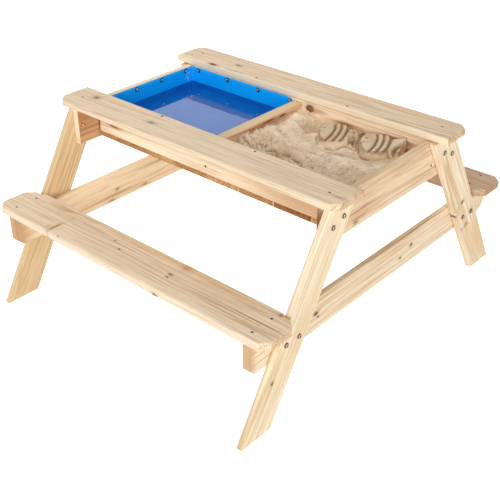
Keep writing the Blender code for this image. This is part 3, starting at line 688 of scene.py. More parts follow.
def bolt_mesh(name, radius, grip):
    """A dome-headed bolt with a hexagon socket and a cap nut, its head above zero and its grip below."""
    nut_radius = radius * NUT_SHARE
    floor = BOLT_HEAD_RISE * 0.93 - SOCKET_DEPTH
    head = dome_rings(radius, BOLT_HEAD_RISE, 0.0, 7, SOCKET_RIM)
    socket = [
        (0.0, floor - 0.0004),
        (SOCKET_RADIUS, floor, 1.0),
        (SOCKET_RADIUS, head[0][1] - 0.0003, 1.0),
        (SOCKET_RADIUS * 1.12, head[0][1], 0.6),
    ]
    shank = [(radius * 0.97, 0.0), (BOLT_SHANK_RADIUS, 0.0), (BOLT_SHANK_RADIUS, -grip)]
    low = -grip - NUT_LENGTH
    nut = [
        (nut_radius * 0.8, -grip, 1.0),
        (nut_radius * 0.86, -grip - 0.0004, 1.0),
        (nut_radius * 0.86, low + 0.0005, 1.0),
        (nut_radius * 0.76, low, 0.3),
    ]
    cap = [(r, low - (z - low)) for r, z in reversed(dome_rings(nut_radius * 0.7, NUT_CAP_RISE, low, 6))]
    cap[-1] = (0.0, cap[-1][1])
    shape = turned_shape(socket + head + shank + nut + cap, BOLT_STEPS)
    # The socket and the head's outer rim take the second material, grime with painted shade; the nut takes
    # the third
    for face in shape.faces:
        centre = face.calc_center_median()
        reach = math.hypot(centre.x, centre.y)
        if centre.z > 0.0:
            face.material_index = int(reach < SOCKET_RADIUS * 1.05 or reach > radius * BOLT_SHADED_RIM_SHARE)
        elif centre.z < -grip:
            face.material_index = 2
    return finish_mesh(shape, name, 35.0)


def make_bolts(metals):
    """The bolts, each in its node's place, heads outside."""
    for name in nodes_of("bolt_"):
        middle, size = middle_and_size(name)
        side = math.copysign(1.0, middle.x)
        mesh = bolt_mesh(name, size.z / 2, size.x - BOLT_HEAD_RISE - NUT_LENGTH - NUT_CAP_RISE)
        add_piece("dressed_" + name, mesh, metals, [name])
        head_x = abs(middle.x) + size.x / 2 - BOLT_HEAD_RISE
        turn = Matrix.Rotation(math.radians(side * 90.0), 4, "Y")
        roll = Matrix.Rotation(math.radians(37.0) * middle.z * 100.0, 4, "Z")
        mesh.transform(Matrix.Translation((side * head_x, middle.y, middle.z)) @ turn @ roll)


STUD_STEPS = 32
STUD_RIM = 0.0007
# Beyond this share of the radius a stud's dome is painted dark, for the dark reflection and shade round its
# rim
STUD_SHADED_RIM_SHARE = 0.56
STUD_HEAD_SPREAD = 1.12
STUD_LOOKS = {"left": (1, 0, 0), "divider": (-1, 0, 0), "front": (0, 1, 0), "rear": (0, -1, 0)}


def stud_mesh(name, radius, pin_length):
    """A stud: a domed head with a rolled rim above zero, and its pin below."""
    head = dome_rings(radius * 0.86, STUD_HEAD_RISE - STUD_RIM, STUD_RIM, 8)
    head[0] = (0.0, head[0][1])
    edge = ((0.9, 0.98), (0.97, 1.02), (1.0, 0.62), (0.99, 0.15), (0.95, 0.0))
    head += [(radius * out, STUD_RIM * up) for out, up in edge]
    pin = [(STUD_PIN_RADIUS, 0.0), (STUD_PIN_RADIUS, -pin_length * 0.8), (0.0, -pin_length)]
    shape = turned_shape(head + pin, STUD_STEPS)
    # The dome's outer part takes the second material: painted dark reflection and shade
    for face in shape.faces:
        centre = face.calc_center_median()
        face.material_index = int(math.hypot(centre.x, centre.y) > radius * STUD_SHADED_RIM_SHARE)
    return finish_mesh(shape, name, 50.0)


def make_studs(metals):
    """The studs round the basin, each in its node's place and looking into the basin."""
    for name in nodes_of("stud_"):
        looks = Vector(STUD_LOOKS[name.split("_")[1]])
        middle, size = middle_and_size(name)
        length = abs(size.dot(looks))
        mesh = stud_mesh(name, size.z / 2 * STUD_HEAD_SPREAD, length - STUD_HEAD_RISE)
        add_piece("dressed_" + name, mesh, metals, [name])
        seat = middle + looks * (length / 2 - STUD_HEAD_RISE)
        mesh.transform(Matrix.Translation(seat) @ looks.to_track_quat("Z", "Y").to_matrix().to_4x4())


SCREW_RADIUS = 0.0034
SCREW_HEAD = 0.0012
CROSS_LENGTH = 0.0042
CROSS_WIDTH = 0.0011
CROSS_DEPTH = 0.0008
# The head's outline: shares of its radius, and heights
SCREW_OUTLINE = (
    (0.0, -0.0001), (0.6, -0.0001), (0.92, -0.0002), (1.0, -0.0004), (0.96, -0.0006),
    (0.8, -SCREW_HEAD), (0.0, -SCREW_HEAD),
)


def screw_mesh():
    """A countersunk screw's head with a cross recess, its top just under zero."""
    rings = [(SCREW_RADIUS * out, height) for out, height in SCREW_OUTLINE]
    head = linked_object("screw_head", finish_mesh(turned_shape(rings, 24), "screw_head"))
    scratch = [head]
    for size in ((CROSS_LENGTH, CROSS_WIDTH), (CROSS_WIDTH, CROSS_LENGTH)):
        shape = bmesh.new()
        bmesh.ops.create_cube(shape, size=1.0)
        bmesh.ops.scale(shape, vec=(*size, CROSS_DEPTH * 2.0), verts=shape.verts)
        scratch.append(linked_object("cross", finish_mesh(shape, "cross")))
        boolean = head.modifiers.new("cross", "BOOLEAN")
        boolean.object = scratch[-1]
        boolean.solver = "EXACT"
    bpy.context.view_layer.update()
    mesh = bpy.data.meshes.new_from_object(head.evaluated_get(bpy.context.evaluated_depsgraph_get()))
    for made in scratch:
        bpy.data.objects.remove(made, do_unlink=True)
    return mesh


def screw_places():
    """Each board and its screws: the recess's place on the board's face, and the face's direction."""
    places = {}
    wall, wall_size = middle_and_size("end_wall_right")
    beam_x = middle_and_size("cross_beam_right")[0].x
    side, side_size = middle_and_size("side_wall_rear")
    wall_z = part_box("side_wall_rear")[0].z + WALL_SCREW_FROM_BOTTOM
    plank_high, bench_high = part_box("rear_top_plank")[1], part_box("rear_bench")[1]
    bench_y = middle_and_size("rear_bench")[0].y + BENCH_SCREW_SHIFT
    up = Vector((0.0, 0.0, 1.0))
    for end, facing in (("front", -1), ("rear", 1)):
        side_y, face_y = facing * side.y, facing * (side.y + side_size.y / 2)
        places[f"side_wall_{end}"] = [((0.0, face_y, wall_z), Vector((0.0, facing, 0.0)))]
        plank, bench = [], []
        for turn, hand in ((-1, "left"), (1, "right")):
            edge_y = facing * (plank_high.y - PLANK_SCREW_FROM_EDGE)
            plank.append(((turn * wall.x, edge_y, plank_high.z), up))
            plank.append(((turn * PLANK_SCREW_SPREAD / 2, side_y, plank_high.z), up))
            for step in (-0.5, 0.5):
                y = facing * (bench_y + step * BENCH_SCREW_PITCH)
                bench.append(((turn * beam_x, y, bench_high.z), up))
            outside = (turn * (wall.x + wall_size.x / 2), side_y, wall_z)
            places.setdefault("end_wall_" + hand, []).append((outside, Vector((turn, 0.0, 0.0))))
        places[f"{end}_top_plank"] = plank
        places[f"{end}_bench"] = bench
    return places


def make_screws(zinc):
    """The screws' heads in their recesses, one piece for each board."""
    head = screw_mesh()
    for board, places in screw_places().items():
        shape = bmesh.new()
        for number, (place, looks) in enumerate(places):
            start = len(shape.verts)
            shape.from_mesh(head)
            shape.verts.ensure_lookup_table()
            aim = looks.to_track_quat("Z", "Y").to_matrix().to_4x4()
            roll = Matrix.Rotation(math.radians(23.0 + 71.0 * number), 4, "Z")
            bed = Vector(place) - looks * (SCREW_RECESS_DEPTH - SCREW_HEAD)
            move = Matrix.Translation(bed) @ aim @ roll
            bmesh.ops.transform(shape, matrix=move, verts=shape.verts[start:])
        add_piece("screws_" + board, finish_mesh(shape, "screws_" + board, 30.0), [zinc])


# Water basin

CORNER_RADIUS = 0.006
CORNER_STEPS = 7
WALL_STEP = 0.0075
WALL_LEVELS = 11
LINER_THICKNESS = 0.0009
LINER_GAP = 0.0001
LINER_FILLET = 0.007
FILLET_STEPS = 4
LINER_WAVE = 0.0016
LINER_PLEAT = 0.0026
PLEAT_FROM_CORNER = 0.017
PLEAT_WIDTH = 0.0032
STUD_GRIP = 0.007
STUD_GRIP_FADE = 0.025
RIM_DIP = 0.0006
BED_WAVE = 0.0005
# The liner's top falls to the divider's top over this stretch before the divider
RIM_FALL_START = 0.012
RIM_FALL_LENGTH = 0.009
# Loops of the liner's bed, as shares of its outline about a spine, and the spine's half length
BED_SHARES = (0.9, 0.78, 0.64, 0.48, 0.3, 0.12)
BED_SPINE_SHARE = 0.12
# The corner round which the liner's creases get painted highlights
CREASED_CORNER = (-0.392, 0.152, 0.452)


def rounded_loop(low, high, radius, step):
    """Points round a rectangle with rounded corners, each with the direction in which it looks inwards."""
    corners = ((high.x, high.y), (low.x, high.y), (low.x, low.y), (high.x, low.y))
    middle = (low + high) / 2
    loop = []
    for index, (x, y) in enumerate(corners):
        centre = Vector((x - math.copysign(radius, x - middle.x), y - math.copysign(radius, y - middle.y)))
        for part in range(CORNER_STEPS + 1):
            angle = math.radians(90.0 * index + 90.0 * part / CORNER_STEPS)
            out = Vector((math.cos(angle), math.sin(angle)))
            loop.append((centre + out * radius, -out))
        length = (high.y - low.y if index % 2 == 1 else high.x - low.x) - 2.0 * radius
        origin, inward = loop[-1]
        run = Vector((inward.y, -inward.x))
        count = round(length / step)
        loop += [(origin + run * length * part / count, inward) for part in range(1, count)]
    return loop


def ripple(x, y, seed):
    """Smooth waviness from -1 to 1, the same in each run."""
    total = math.sin(31.0 * x + 17.0 * y + seed) + math.sin(67.0 * x - 41.0 * y + 2.3 * seed)
    return (total + math.sin(113.0 * y + 23.0 * x + 1.7 * seed)) / 3.0


def pinned(place, studs):
    """From 0 at a stud to 1 away from it."""
    nearest = min((place - stud).length for stud in studs)
    return min(1.0, max(0.0, (nearest - STUD_GRIP) / STUD_GRIP_FADE))


def pleats(x, y, low, high):
    """How much the corner folds stand out, from the distance to the nearest corner."""
    away = max(min(x - low.x, high.x - x), min(y - low.y, high.y - y))
    fold = math.exp(-(((away - PLEAT_FROM_CORNER) / PLEAT_WIDTH) ** 2))
    crease = math.exp(-(((away - PLEAT_FROM_CORNER - 2.6 * PLEAT_WIDTH) / (PLEAT_WIDTH * 0.8)) ** 2))
    return fold + 0.45 * crease


def liner_rings(low, high):
    """Loops of points of the liner's inside: down its wavy walls, round its fillet and over its bed."""
    studs = [middle_and_size(name)[0] for name in nodes_of("stud_")]
    divider_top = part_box("divider")[1].z - (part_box("end_wall_left")[1].z - high.z)
    inner = Vector((LINER_THICKNESS + LINER_GAP, LINER_THICKNESS + LINER_GAP, 0.0))
    loop = rounded_loop(low + inner, high - inner, CORNER_RADIUS, WALL_STEP)
    bed = low.z + LINER_THICKNESS + LINER_GAP
    for level in (i / WALL_LEVELS for i in range(WALL_LEVELS + 1)):
        ring = []
        for point, inward in loop:
            near = min(1.0, max(0.0, (point.x - (high.x - RIM_FALL_START)) / RIM_FALL_LENGTH))
            top = high.z + (divider_top - high.z) * eased(near)
            top -= RIM_DIP * (1.0 + ripple(point.x, point.y, 4.0))
            z = top + (bed + LINER_FILLET - top) * level
            push = LINER_WAVE * (1.0 + ripple(point.x, point.y + 1.3 * z, 1.0)) / 2.0
            push *= pinned(Vector((*point, z)), studs) * (1.0 - level * level)
            push += LINER_PLEAT * pleats(point.x, point.y, low, high) * (1.0 - 0.75 * level)
            ring.append((*(point + inward * push), z))
        yield ring
    for step in range(1, FILLET_STEPS + 1):
        angle = math.radians(90.0 * step / FILLET_STEPS)
        inset, z = LINER_FILLET * (1.0 - math.cos(angle)), bed + LINER_FILLET * (1.0 - math.sin(angle))
        yield [(*(point + inward * inset), z) for point, inward in loop]
    middle, half = ((low + high) / 2).xy, (high.y - low.y) / 2
    spine_reach = half * BED_SPINE_SHARE
    for share in BED_SHARES:
        ring = []
        for point, inward in loop:
            spine = Vector((min(max(point.x, middle.x - spine_reach), middle.x + spine_reach), middle.y))
            at = spine + (point + inward * LINER_FILLET - spine) * share
            wave = BED_WAVE * (1.0 + ripple(at.x, at.y, 7.0)) * (1.0 - share) * (half - LINER_FILLET) / half
            ring.append((*at, bed + wave))
        yield ring


def make_liner(material):
    """The liner: a box of sheet with round corners, wavy between its studs and pleated at its corners."""
    low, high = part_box("liner")
    mesh = finish_mesh(skinned(liner_rings(low, high)), "liner", 60.0)
    piece = add_piece("basin_liner", mesh, [material], ["liner"])
    sheet = piece.modifiers.new("sheet", "SOLIDIFY")
    sheet.thickness = LINER_THICKNESS
    sheet.offset = 1.0
    rests = ["end_wall_left", "side_wall_front", "side_wall_rear", "divider"]
    rests += [f"base_slat_{number}" for number in range(1, SLAT_COUNT // 2 + 1)]


def liner_material():
    """Blue vinyl sheet: a soft gloss, a fine grain and faint creases."""
    material, w, shader = new_material("blue_vinyl", 0.34, 0.0, (0.0, 0.39, 0.97), IOR=1.42)
    place = w.place()
    cloud = w.noise(place, (9.0, 9.0, 14.0), 3.0)
    colour = w.mix(cloud, (0.0, 0.37, 0.98), (0.0, 0.47, 1.0))
    crease = w.noise(place, (70.0, 70.0, 9.0), 3.0)
    colour = w.mix(w.times(w.fade(crease, 0.64, 0.8), 0.3), colour, (0.3, 0.52, 0.9))
    # Paler blue in streaks near the rear-left corner: painted highlights on the creases there
    away = w.vector("LENGTH", w.vector("SUBTRACT", place, CREASED_CORNER))
    crease_highlight = w.fade(w.noise(place, (240.0, 240.0, 110.0), 3.0), 0.55, 0.63)
    crease_highlight = w.times(crease_highlight, w.fade(away, 0.005, 0.021, 0.7, 0.0))
    colour = w.mix(crease_highlight, colour, (0.45, 0.72, 0.97))
    height = w.plus(w.times(crease, 3.0), w.times(w.noise(place, 1500.0, 1.0), 0.25))
    w.dress(shader, colour, height, 0.35, 0.0006, w.line(cloud, 0.2, 0.26))
    return material


# Loops of the water's surface, as distances from its edge, and how it climbs the liner
WATER_INSETS = (0.0, 0.0009, 0.0019, 0.0032, 0.005, 0.009, 0.016, 0.028, 0.045, 0.07, 0.1, 0.13, 0.155)
WATER_CLIMB = 0.0011
WATER_CLIMB_REACH = 0.0016
WATER_WAVE = 0.00008


def make_water(material):
    """The water's surface, with a small rise where it meets the liner."""
    low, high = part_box("liner")
    edge = Vector((LINER_THICKNESS * 0.6, LINER_THICKNESS * 0.6, 0.0))
    loop = rounded_loop(low + edge, high - edge, CORNER_RADIUS, WALL_STEP)
    rings = []
    middle_y, reach = (low.y + high.y) / 2, (high.y - low.y) / 2
    for inset in WATER_INSETS:
        ring = []
        for point, _ in loop:
            spine = Vector((min(max(point.x, low.x + reach), high.x - reach), middle_y))
            at = spine + (point - spine) * (1.0 - inset / reach)
            rise = WATER_CLIMB * math.exp(-inset / WATER_CLIMB_REACH)
            wave = WATER_WAVE * ripple(at.x * 1.6, at.y * 1.6, 3.0) * min(1.0, inset / 0.01)
            ring.append((*at, WATER_LEVEL + rise + wave))
        rings.append(ring)
    shape = skinned(rings)
    bmesh.ops.remove_doubles(shape, verts=shape.verts, dist=WELD_DISTANCE)
    mesh = finish_mesh(shape, "water", 180.0)
    if mesh.polygons[0].normal.z < 0.0:
        mesh.flip_normals()
    add_piece("basin_water", mesh, [material])


def water_material():
    """Still water over a deep blue: clear, with faint ripples."""
    tint = (0.15, 0.31, 0.45)
    material, w, shader = new_material("water", 0.0, 0.0, tint, IOR=1.33, Transmission_Weight=1.0)
    place = w.place()
    colour = w.mix(w.noise(place, (14.0, 14.0, 1.0), 2.0), (0.1, 0.21, 0.36), (0.14, 0.33, 0.46))
    w.dress(shader, colour, w.noise(place, (55.0, 55.0, 1.0), 2.0), 0.05, 0.0006)
    return material


# Sand

SAND_DEPTH = 0.0455
SAND_STEP = 0.0017
MOULD_LENGTH = 0.076
MOULD_WIDTH = 0.094
MOULD_HEIGHT = 0.0285
MOULD_SLOPE = 0.007
MOULD_TAIL_LENGTH = 0.0395
MOULD_TAIL_WIDTH = 0.08
MOULD_NECK_WIDTH = 0.044
MOULD_SKEW_DEGREES = 12.0
MOULD_SQUARENESS = 3.2
SAND_HEAP_SHARES = (
    (0.0, 0.45, 0.1, 0.9, 0.4),
    (0.03, 1.0, 0.09, 0.2, 0.15),
    (0.22, 0.87, 0.1, 0.11, -0.16),
    (0.3, 0.33, 0.15, 0.14, 0.2),
    (0.62, 0.42, 0.13, 0.1, -0.18),
    (0.7, 0.22, 0.12, 0.15, -0.12),
    (0.95, 0.97, 0.1, 0.12, 0.18),
    (0.95, 0.08, 0.2, 0.16, 0.1),
)
MOULD_CENTRE_SHARES = ((0.418, 0.783), (0.727, 0.828))
MOULD_TURN_DEGREES = 20.0
# Mounds and dips in the loose sand, in millimetres: place from the divider and the front wall, reach
# along and across, rise
SAND_MOUNDS = (
    (45, 165, 35, 40, 10), (70, 128, 40, 12, 9), (110, 132, 20, 10, 7), (155, 124, 35, 10, 8),
    (200, 150, 55, 14, 6), (215, 190, 50, 12, 8), (160, 185, 18, 22, -5), (225, 205, 30, 16, -5),
    (255, 150, 30, 25, 6), (320, 185, 22, 30, 6), (362, 105, 16, 16, -9), (80, 255, 22, 35, -8),
    (0, 215, 18, 90, -9),
)
# Painted shade on the loose sand, in the shadow of a toy spade that isn't modelled, along the bank's foot,
# in furrows and in a corner: place and reach in millimetres, and how dark
SAND_SHADES = (
    (75, 300, 34, 30, 0.34), (118, 99, 28, 4.5, 0.6), (205, 94, 22, 4.5, 0.5), (250, 115, 30, 16, 0.2),
    (345, 92, 20, 10, 0.35), (222, 262, 14, 16, 0.3), (230, 213, 40, 8, 0.4), (60, 292, 30, 30, 0.3),
)
# The loose sand falls off along a ragged bank before the front wall: its place, drop and width
BANK_FROM_WALL = 0.106
BANK_DROP = 0.008
BANK_WIDTH = 0.01
BANK_END = 0.215
BANK_END_FADE = 0.06
BANK_FOOT_DISTANCE = 0.006
BANK_FOOT_WIDTH = 0.003
# Rags of the bank's edge: width of a patch, reach and seed
BANK_RAGS = ((0.035, 0.01, 7), (0.012, 0.005, 8))
# Waves of the loose sand: width of a patch, height and seed
LOOSE_WAVES = ((0.05, 0.005, 1), (0.019, 0.0034, 2))
# Lumps of the loose sand, crumbs of all of it, and where it is lumpiest: place and reach
LUMP_WIDTH = 0.01
LUMP_HEIGHT = 0.007
SMALL_LUMP_WIDTH = 0.0052
SMALL_LUMP_HEIGHT = 0.0055
CRUMB_WIDTH = 0.0036
CRUMB_HEIGHT = 0.0009
LUMPY_PLACES = (((0.1, 0.115), (0.11, 0.045)), ((0.02, 0.06), (0.06, 0.08)))
# The sand climbs a little where it meets the tray
EDGE_RISE = 0.0035
EDGE_REACH = 0.006
# Hollows near and wide: reach in cells of the grid, and the depth that counts as a full hollow
HOLLOW_SCALES = ((2, 0.0011), (6, 0.003))
# The ragged outline of a moulded shape: width of a patch and reach
OUTLINE_RAGS = ((0.014, 0.0018), (0.005, 0.0006))
# Its foot has crumbled in places, where it is painted with shade, and the rim of its top is worn
MOULD_FOOT_DISTANCE = 0.0036
MOULD_FOOT_WIDTH = 0.0026
MOULD_FOOT_DEPTH = 0.0045
WORN_RIM_WIDTH = 0.004
WORN_RIM_FADE = 0.01
WORN_RIM_DROP = 0.003
# The top of a fish falls towards its belly
BELLY_FALL = 0.14
# The scales lie in arcs about a point before the head
SCALE_CENTRE = (-0.11, -0.003)
SCALE_START = 0.0945
SCALE_PITCH = 0.016
SCALE_STEP = 0.008
SCALES_END = 0.041
SCALES_FROM_EDGE = 0.0025
SCALES_FADE = 0.006
# The mouth's place and reach
MOUTH = ((-0.034, -0.012), (0.009, 0.0024))
MOUTH_DEPTH = 0.0045
EYE = (-0.0245, 0.0045)
EYE_RING = 0.0075
EYE_RING_WIDTH = 0.0022
EYE_RING_HEIGHT = 0.0022
EYE_HOLE_REACH = 0.0034
EYE_HOLE_DEPTH = 0.006
EYE_SHADE_REACH = 0.0036
# Hollow of each fish's tail: place, reach and lean; and how far the tail has crumbled down
TAIL_HOLLOWS = (
    ((0.0567, -0.019), (0.007, 0.0105), 0.1, 0.007),
    ((0.055, -0.019), (0.005, 0.021), 0.38, 0.0),
)
SLOT_DEPTH = 0.013


def lattice_noise(x, y, cell, seed):
    """Smooth noise from -1 to 1 with patches as wide as a cell, from seeded corner values."""
    chance = np.random.default_rng(seed).uniform(-1.0, 1.0, (512, 512))
    column, row = x / cell + 20.0, y / cell + 20.0
    left, low = np.floor(column).astype(int) % 511, np.floor(row).astype(int) % 511
    across, up = column - np.floor(column), row - np.floor(row)
    across, up = eased(across), eased(up)
    lower = chance[left, low] * (1.0 - across) + chance[left + 1, low] * across
    upper = chance[left, low + 1] * (1.0 - across) + chance[left + 1, low + 1] * across
    return lower * (1.0 - up) + upper * up


def mould_depth(along, across):
    """How far a point lies inside a moulded fish shape's outline, negative outside it."""
    half_length, half_width = MOULD_LENGTH / 2, MOULD_WIDTH / 2
    skew = math.radians(MOULD_SKEW_DEGREES)
    long_share = np.abs(along * math.cos(skew) + across * math.sin(skew)) / half_length
    wide_share = np.abs(across * math.cos(skew) - along * math.sin(skew)) / half_width
    reach = (long_share**MOULD_SQUARENESS + wide_share**MOULD_SQUARENESS) ** (1.0 / MOULD_SQUARENESS)
    body = (1.0 - reach) * half_width
    neck_x = half_length * 3 / 4
    tail_x = neck_x + MOULD_TAIL_LENGTH
    flare = (MOULD_TAIL_WIDTH - MOULD_NECK_WIDTH) / 2 * (along - neck_x) / MOULD_TAIL_LENGTH
    half_tail = MOULD_NECK_WIDTH / 2 + np.clip(flare, 0.0, None)
    tail = np.minimum(np.minimum(along - neck_x, tail_x - along), half_tail - np.abs(across))
    return np.maximum(body, tail)


def smooth_rise(depth, slope):
    """From 0 outside an outline to 1 inside it, over the width of its sloped side."""
    return eased(np.clip(depth / slope + 0.5, 0.0, 1.0))


def bump_at(x, y, centre, reach):
    """A soft round bump of height 1."""
    return np.exp(-(((x - centre[0]) / reach[0]) ** 2) - ((y - centre[1]) / reach[1]) ** 2)


def fish_relief(along, across, depth, hollow):
    """Scales, an eye, a mouth and a slotted tail on a moulded fish: their height, and how dark they are,
    with painted shade in their hollows and a painted highlight on the crests.
    """
    inside = smooth_rise(depth - SCALES_FROM_EDGE, SCALES_FADE)
    body = smooth_rise(SCALES_END - along, SCALES_FADE)
    turn = (np.hypot(along - SCALE_CENTRE[0], across - SCALE_CENTRE[1]) - SCALE_START) / SCALE_PITCH
    saw = turn - np.floor(turn)
    scaled = smooth_rise(turn - 0.8, 0.3) * smooth_rise(3.55 - turn, 0.3) * inside * body
    crest = smooth_rise(saw - 0.36, 0.72) * smooth_rise(0.86 - saw, 0.28)
    relief = SCALE_STEP * (crest - 1.0) * scaled
    groove = np.exp(-((((saw + 0.54) % 1.0 - 0.5) / 0.21) ** 2)) * scaled
    relief -= WORN_RIM_DROP * smooth_rise(WORN_RIM_WIDTH - depth, WORN_RIM_FADE)
    eye = np.hypot(along - EYE[0], across - EYE[1])
    relief += EYE_RING_HEIGHT * np.exp(-(((eye - EYE_RING) / EYE_RING_WIDTH) ** 2))
    relief -= EYE_HOLE_DEPTH * np.exp(-((eye / EYE_HOLE_REACH) ** 2))
    mouth = bump_at(along, across, *MOUTH)
    centre, reach, lean, crumbled = hollow
    slot = bump_at(along - lean * (across - centre[1]), across, centre, reach)
    relief -= MOUTH_DEPTH * mouth + SLOT_DEPTH * slot + BELLY_FALL * np.clip(-across, 0.0, None)
    relief -= crumbled * smooth_rise(along - 0.044, 0.01) * (1.0 + lattice_noise(along, across, 0.006, 70))
    # How dark: the moulded sand's darker tone, painted shade in the grooves, eye, mouth and tail slot, and a
    # painted highlight on the scales' crests
    dark = 0.34 + 0.4 * groove - 0.24 * crest * scaled
    dark += 0.9 * np.exp(-((eye / EYE_SHADE_REACH) ** 2)) + 0.4 * mouth + 0.75 * slot
    return relief, dark


def sand_relief(x, y, length, width):
    """The sand's height above its bed, its painted shade over the moulded sand's darker tone, and how far it
    is moulded.

    A point is measured from the divider (x) and the front wall (y).
    """
    height = np.full_like(x, SAND_DEPTH)
    for centre_x, centre_y, reach_x, reach_y, rise in SAND_HEAP_SHARES:
        along = (x / length - centre_x) / reach_x
        across = (y / width - centre_y) / reach_y
        height += SAND_DEPTH * rise * np.exp(-(along**2) - across**2)
    turn_angle = math.radians(MOULD_TURN_DEGREES)
    moulded, shade = np.zeros_like(x), np.zeros_like(x)
    for number, (share_x, share_y) in enumerate(MOULD_CENTRE_SHARES):
        dx, dy = x - share_x * length, y - share_y * width
        along = dx * math.cos(turn_angle) + dy * math.sin(turn_angle)
        across = dy * math.cos(turn_angle) - dx * math.sin(turn_angle)
        depth = mould_depth(along, across)
        for (cell, reach), seed in zip(OUTLINE_RAGS, (40 + number, 50)):
            depth += reach * lattice_noise(x, y, cell, seed)
        rise = smooth_rise(depth, MOULD_SLOPE * 0.6)
        relief, dark = fish_relief(along, across, depth, TAIL_HOLLOWS[number])
        height += (MOULD_HEIGHT + relief) * rise
        broken = smooth_rise(lattice_noise(x, y, 0.016, 60 + number), 1.0)
        foot = broken * np.exp(-(((depth + MOULD_FOOT_DISTANCE) / MOULD_FOOT_WIDTH) ** 2))
        height -= MOULD_FOOT_DEPTH * foot
        # Painted shade on the fish, and along their crumbled feet
        shade = np.maximum(shade, np.maximum(dark * rise, 0.85 * foot))
        moulded = np.maximum(moulded, rise)
    loose = 1.0 - moulded
    for cell, rise, seed in LOOSE_WAVES:
        height += loose * rise * lattice_noise(x, y, cell, seed)
    for *spot, rise in SAND_MOUNDS:
        height += loose * rise * MM * bump_at(x / MM, y / MM, spot[:2], spot[2:])
    bank = np.full_like(x, BANK_FROM_WALL)
    for cell, reach, seed in BANK_RAGS:
        bank += reach * lattice_noise(x, y, cell, seed)
    present = smooth_rise(BANK_END - x, BANK_END_FADE)
    height -= BANK_DROP * smooth_rise(bank - y, BANK_WIDTH) * present
    # Painted shadow along the foot of the bank
    foot = np.exp(-(((y - bank + BANK_FOOT_DISTANCE) / BANK_FOOT_WIDTH) ** 2))
    foot *= smooth_rise(lattice_noise(x, y, 0.02, 9), 1.0)
    shade = np.maximum(shade, 0.6 * foot * present)
    for *spot, dark in SAND_SHADES:
        shade = np.maximum(shade, loose * dark * bump_at(x / MM, y / MM, spot[:2], spot[2:]))
    lumpy = 0.75 * np.clip(sum(bump_at(x, y, *spot) for spot in LUMPY_PLACES), 0.0, 1.0) + 0.35
    lumps = np.clip(lattice_noise(x, y, LUMP_WIDTH, 3) - 0.05, 0.0, None)
    small = np.clip(lattice_noise(x, y, SMALL_LUMP_WIDTH, 4) - 0.1, 0.0, None)
    height += loose * lumpy * (LUMP_HEIGHT * lumps + SMALL_LUMP_HEIGHT * small)
    height += CRUMB_HEIGHT * lattice_noise(x, y, CRUMB_WIDTH, 5) * (0.5 + 0.5 * loose)
    edge = np.minimum(np.minimum(x, length - x), np.minimum(y, width - y))
    height += EDGE_RISE * np.exp(-edge / EDGE_REACH) * (0.6 + 0.8 * lattice_noise(x, y, 0.03, 6))
    return height, shade, moulded


def blurred(field, reach):
    """A grid of values, each averaged over a square that reaches some cells to every side."""
    kernel = np.full(2 * reach + 1, 1.0 / (2 * reach + 1))
    field = np.pad(field, reach, mode="edge")
    for axis in (0, 1):
        field = np.apply_along_axis(np.convolve, axis, field, kernel, mode="valid")
    return field


def hollowness(x, y, height):
    """How far each point of a grid lies below its surroundings, near and wide."""
    column = np.unique(np.round(x, 5), return_inverse=True)[1]
    row = np.unique(np.round(y, 5), return_inverse=True)[1]
    field = np.zeros((column.max() + 1, row.max() + 1))
    field[column, row] = height
    below = sum(0.5 * (blurred(field, reach) - field) / full for reach, full in HOLLOW_SCALES)
    return below[column, row]


def make_sand(material):
    """The sand: a fine grid raised to its relief, closed down to its bed."""
    low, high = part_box("sand")
    length, width = high.x - low.x, high.y - low.y
    columns, rows = round(length / SAND_STEP), round(width / SAND_STEP)
    shape = bmesh.new()
    hollow = shape.verts.layers.float.new("hollow")
    shade = shape.verts.layers.float.new("shade")
    bmesh.ops.create_grid(shape, x_segments=columns, y_segments=rows, size=0.5)
    top = list(shape.verts)
    walls = bmesh.ops.extrude_face_region(shape, geom=list(shape.faces))
    bed = [item for item in walls["geom"] if isinstance(item, bmesh.types.BMVert)]
    bed_faces = [item for item in walls["geom"] if isinstance(item, bmesh.types.BMFace)]
    x = np.array([(vert.co.x + 0.5) * length for vert in top])
    y = np.array([(vert.co.y + 0.5) * width for vert in top])
    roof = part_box("divider")[1].z - low.z - CLEARANCE * 3
    heights, shades, moulded = sand_relief(x, y, length, width)
    heights = np.minimum(heights, roof)
    hollows = hollowness(x, y, heights - MOULD_HEIGHT * moulded)
    for vert, height, below, dark in zip(top, heights, hollows, shades):
        vert.co.z = height
        vert[hollow] = below
        vert[shade] = dark
    for vert in top + bed:
        vert.co.x = low.x + (vert.co.x + 0.5) * length
        vert.co.y = low.y + (vert.co.y + 0.5) * width
        vert.co.z += low.z
    bmesh.ops.dissolve_faces(shape, faces=bed_faces)
    mesh = finish_mesh(shape, "sand", 60.0)
    add_piece("tray_sand", mesh, [material], ["sand"])


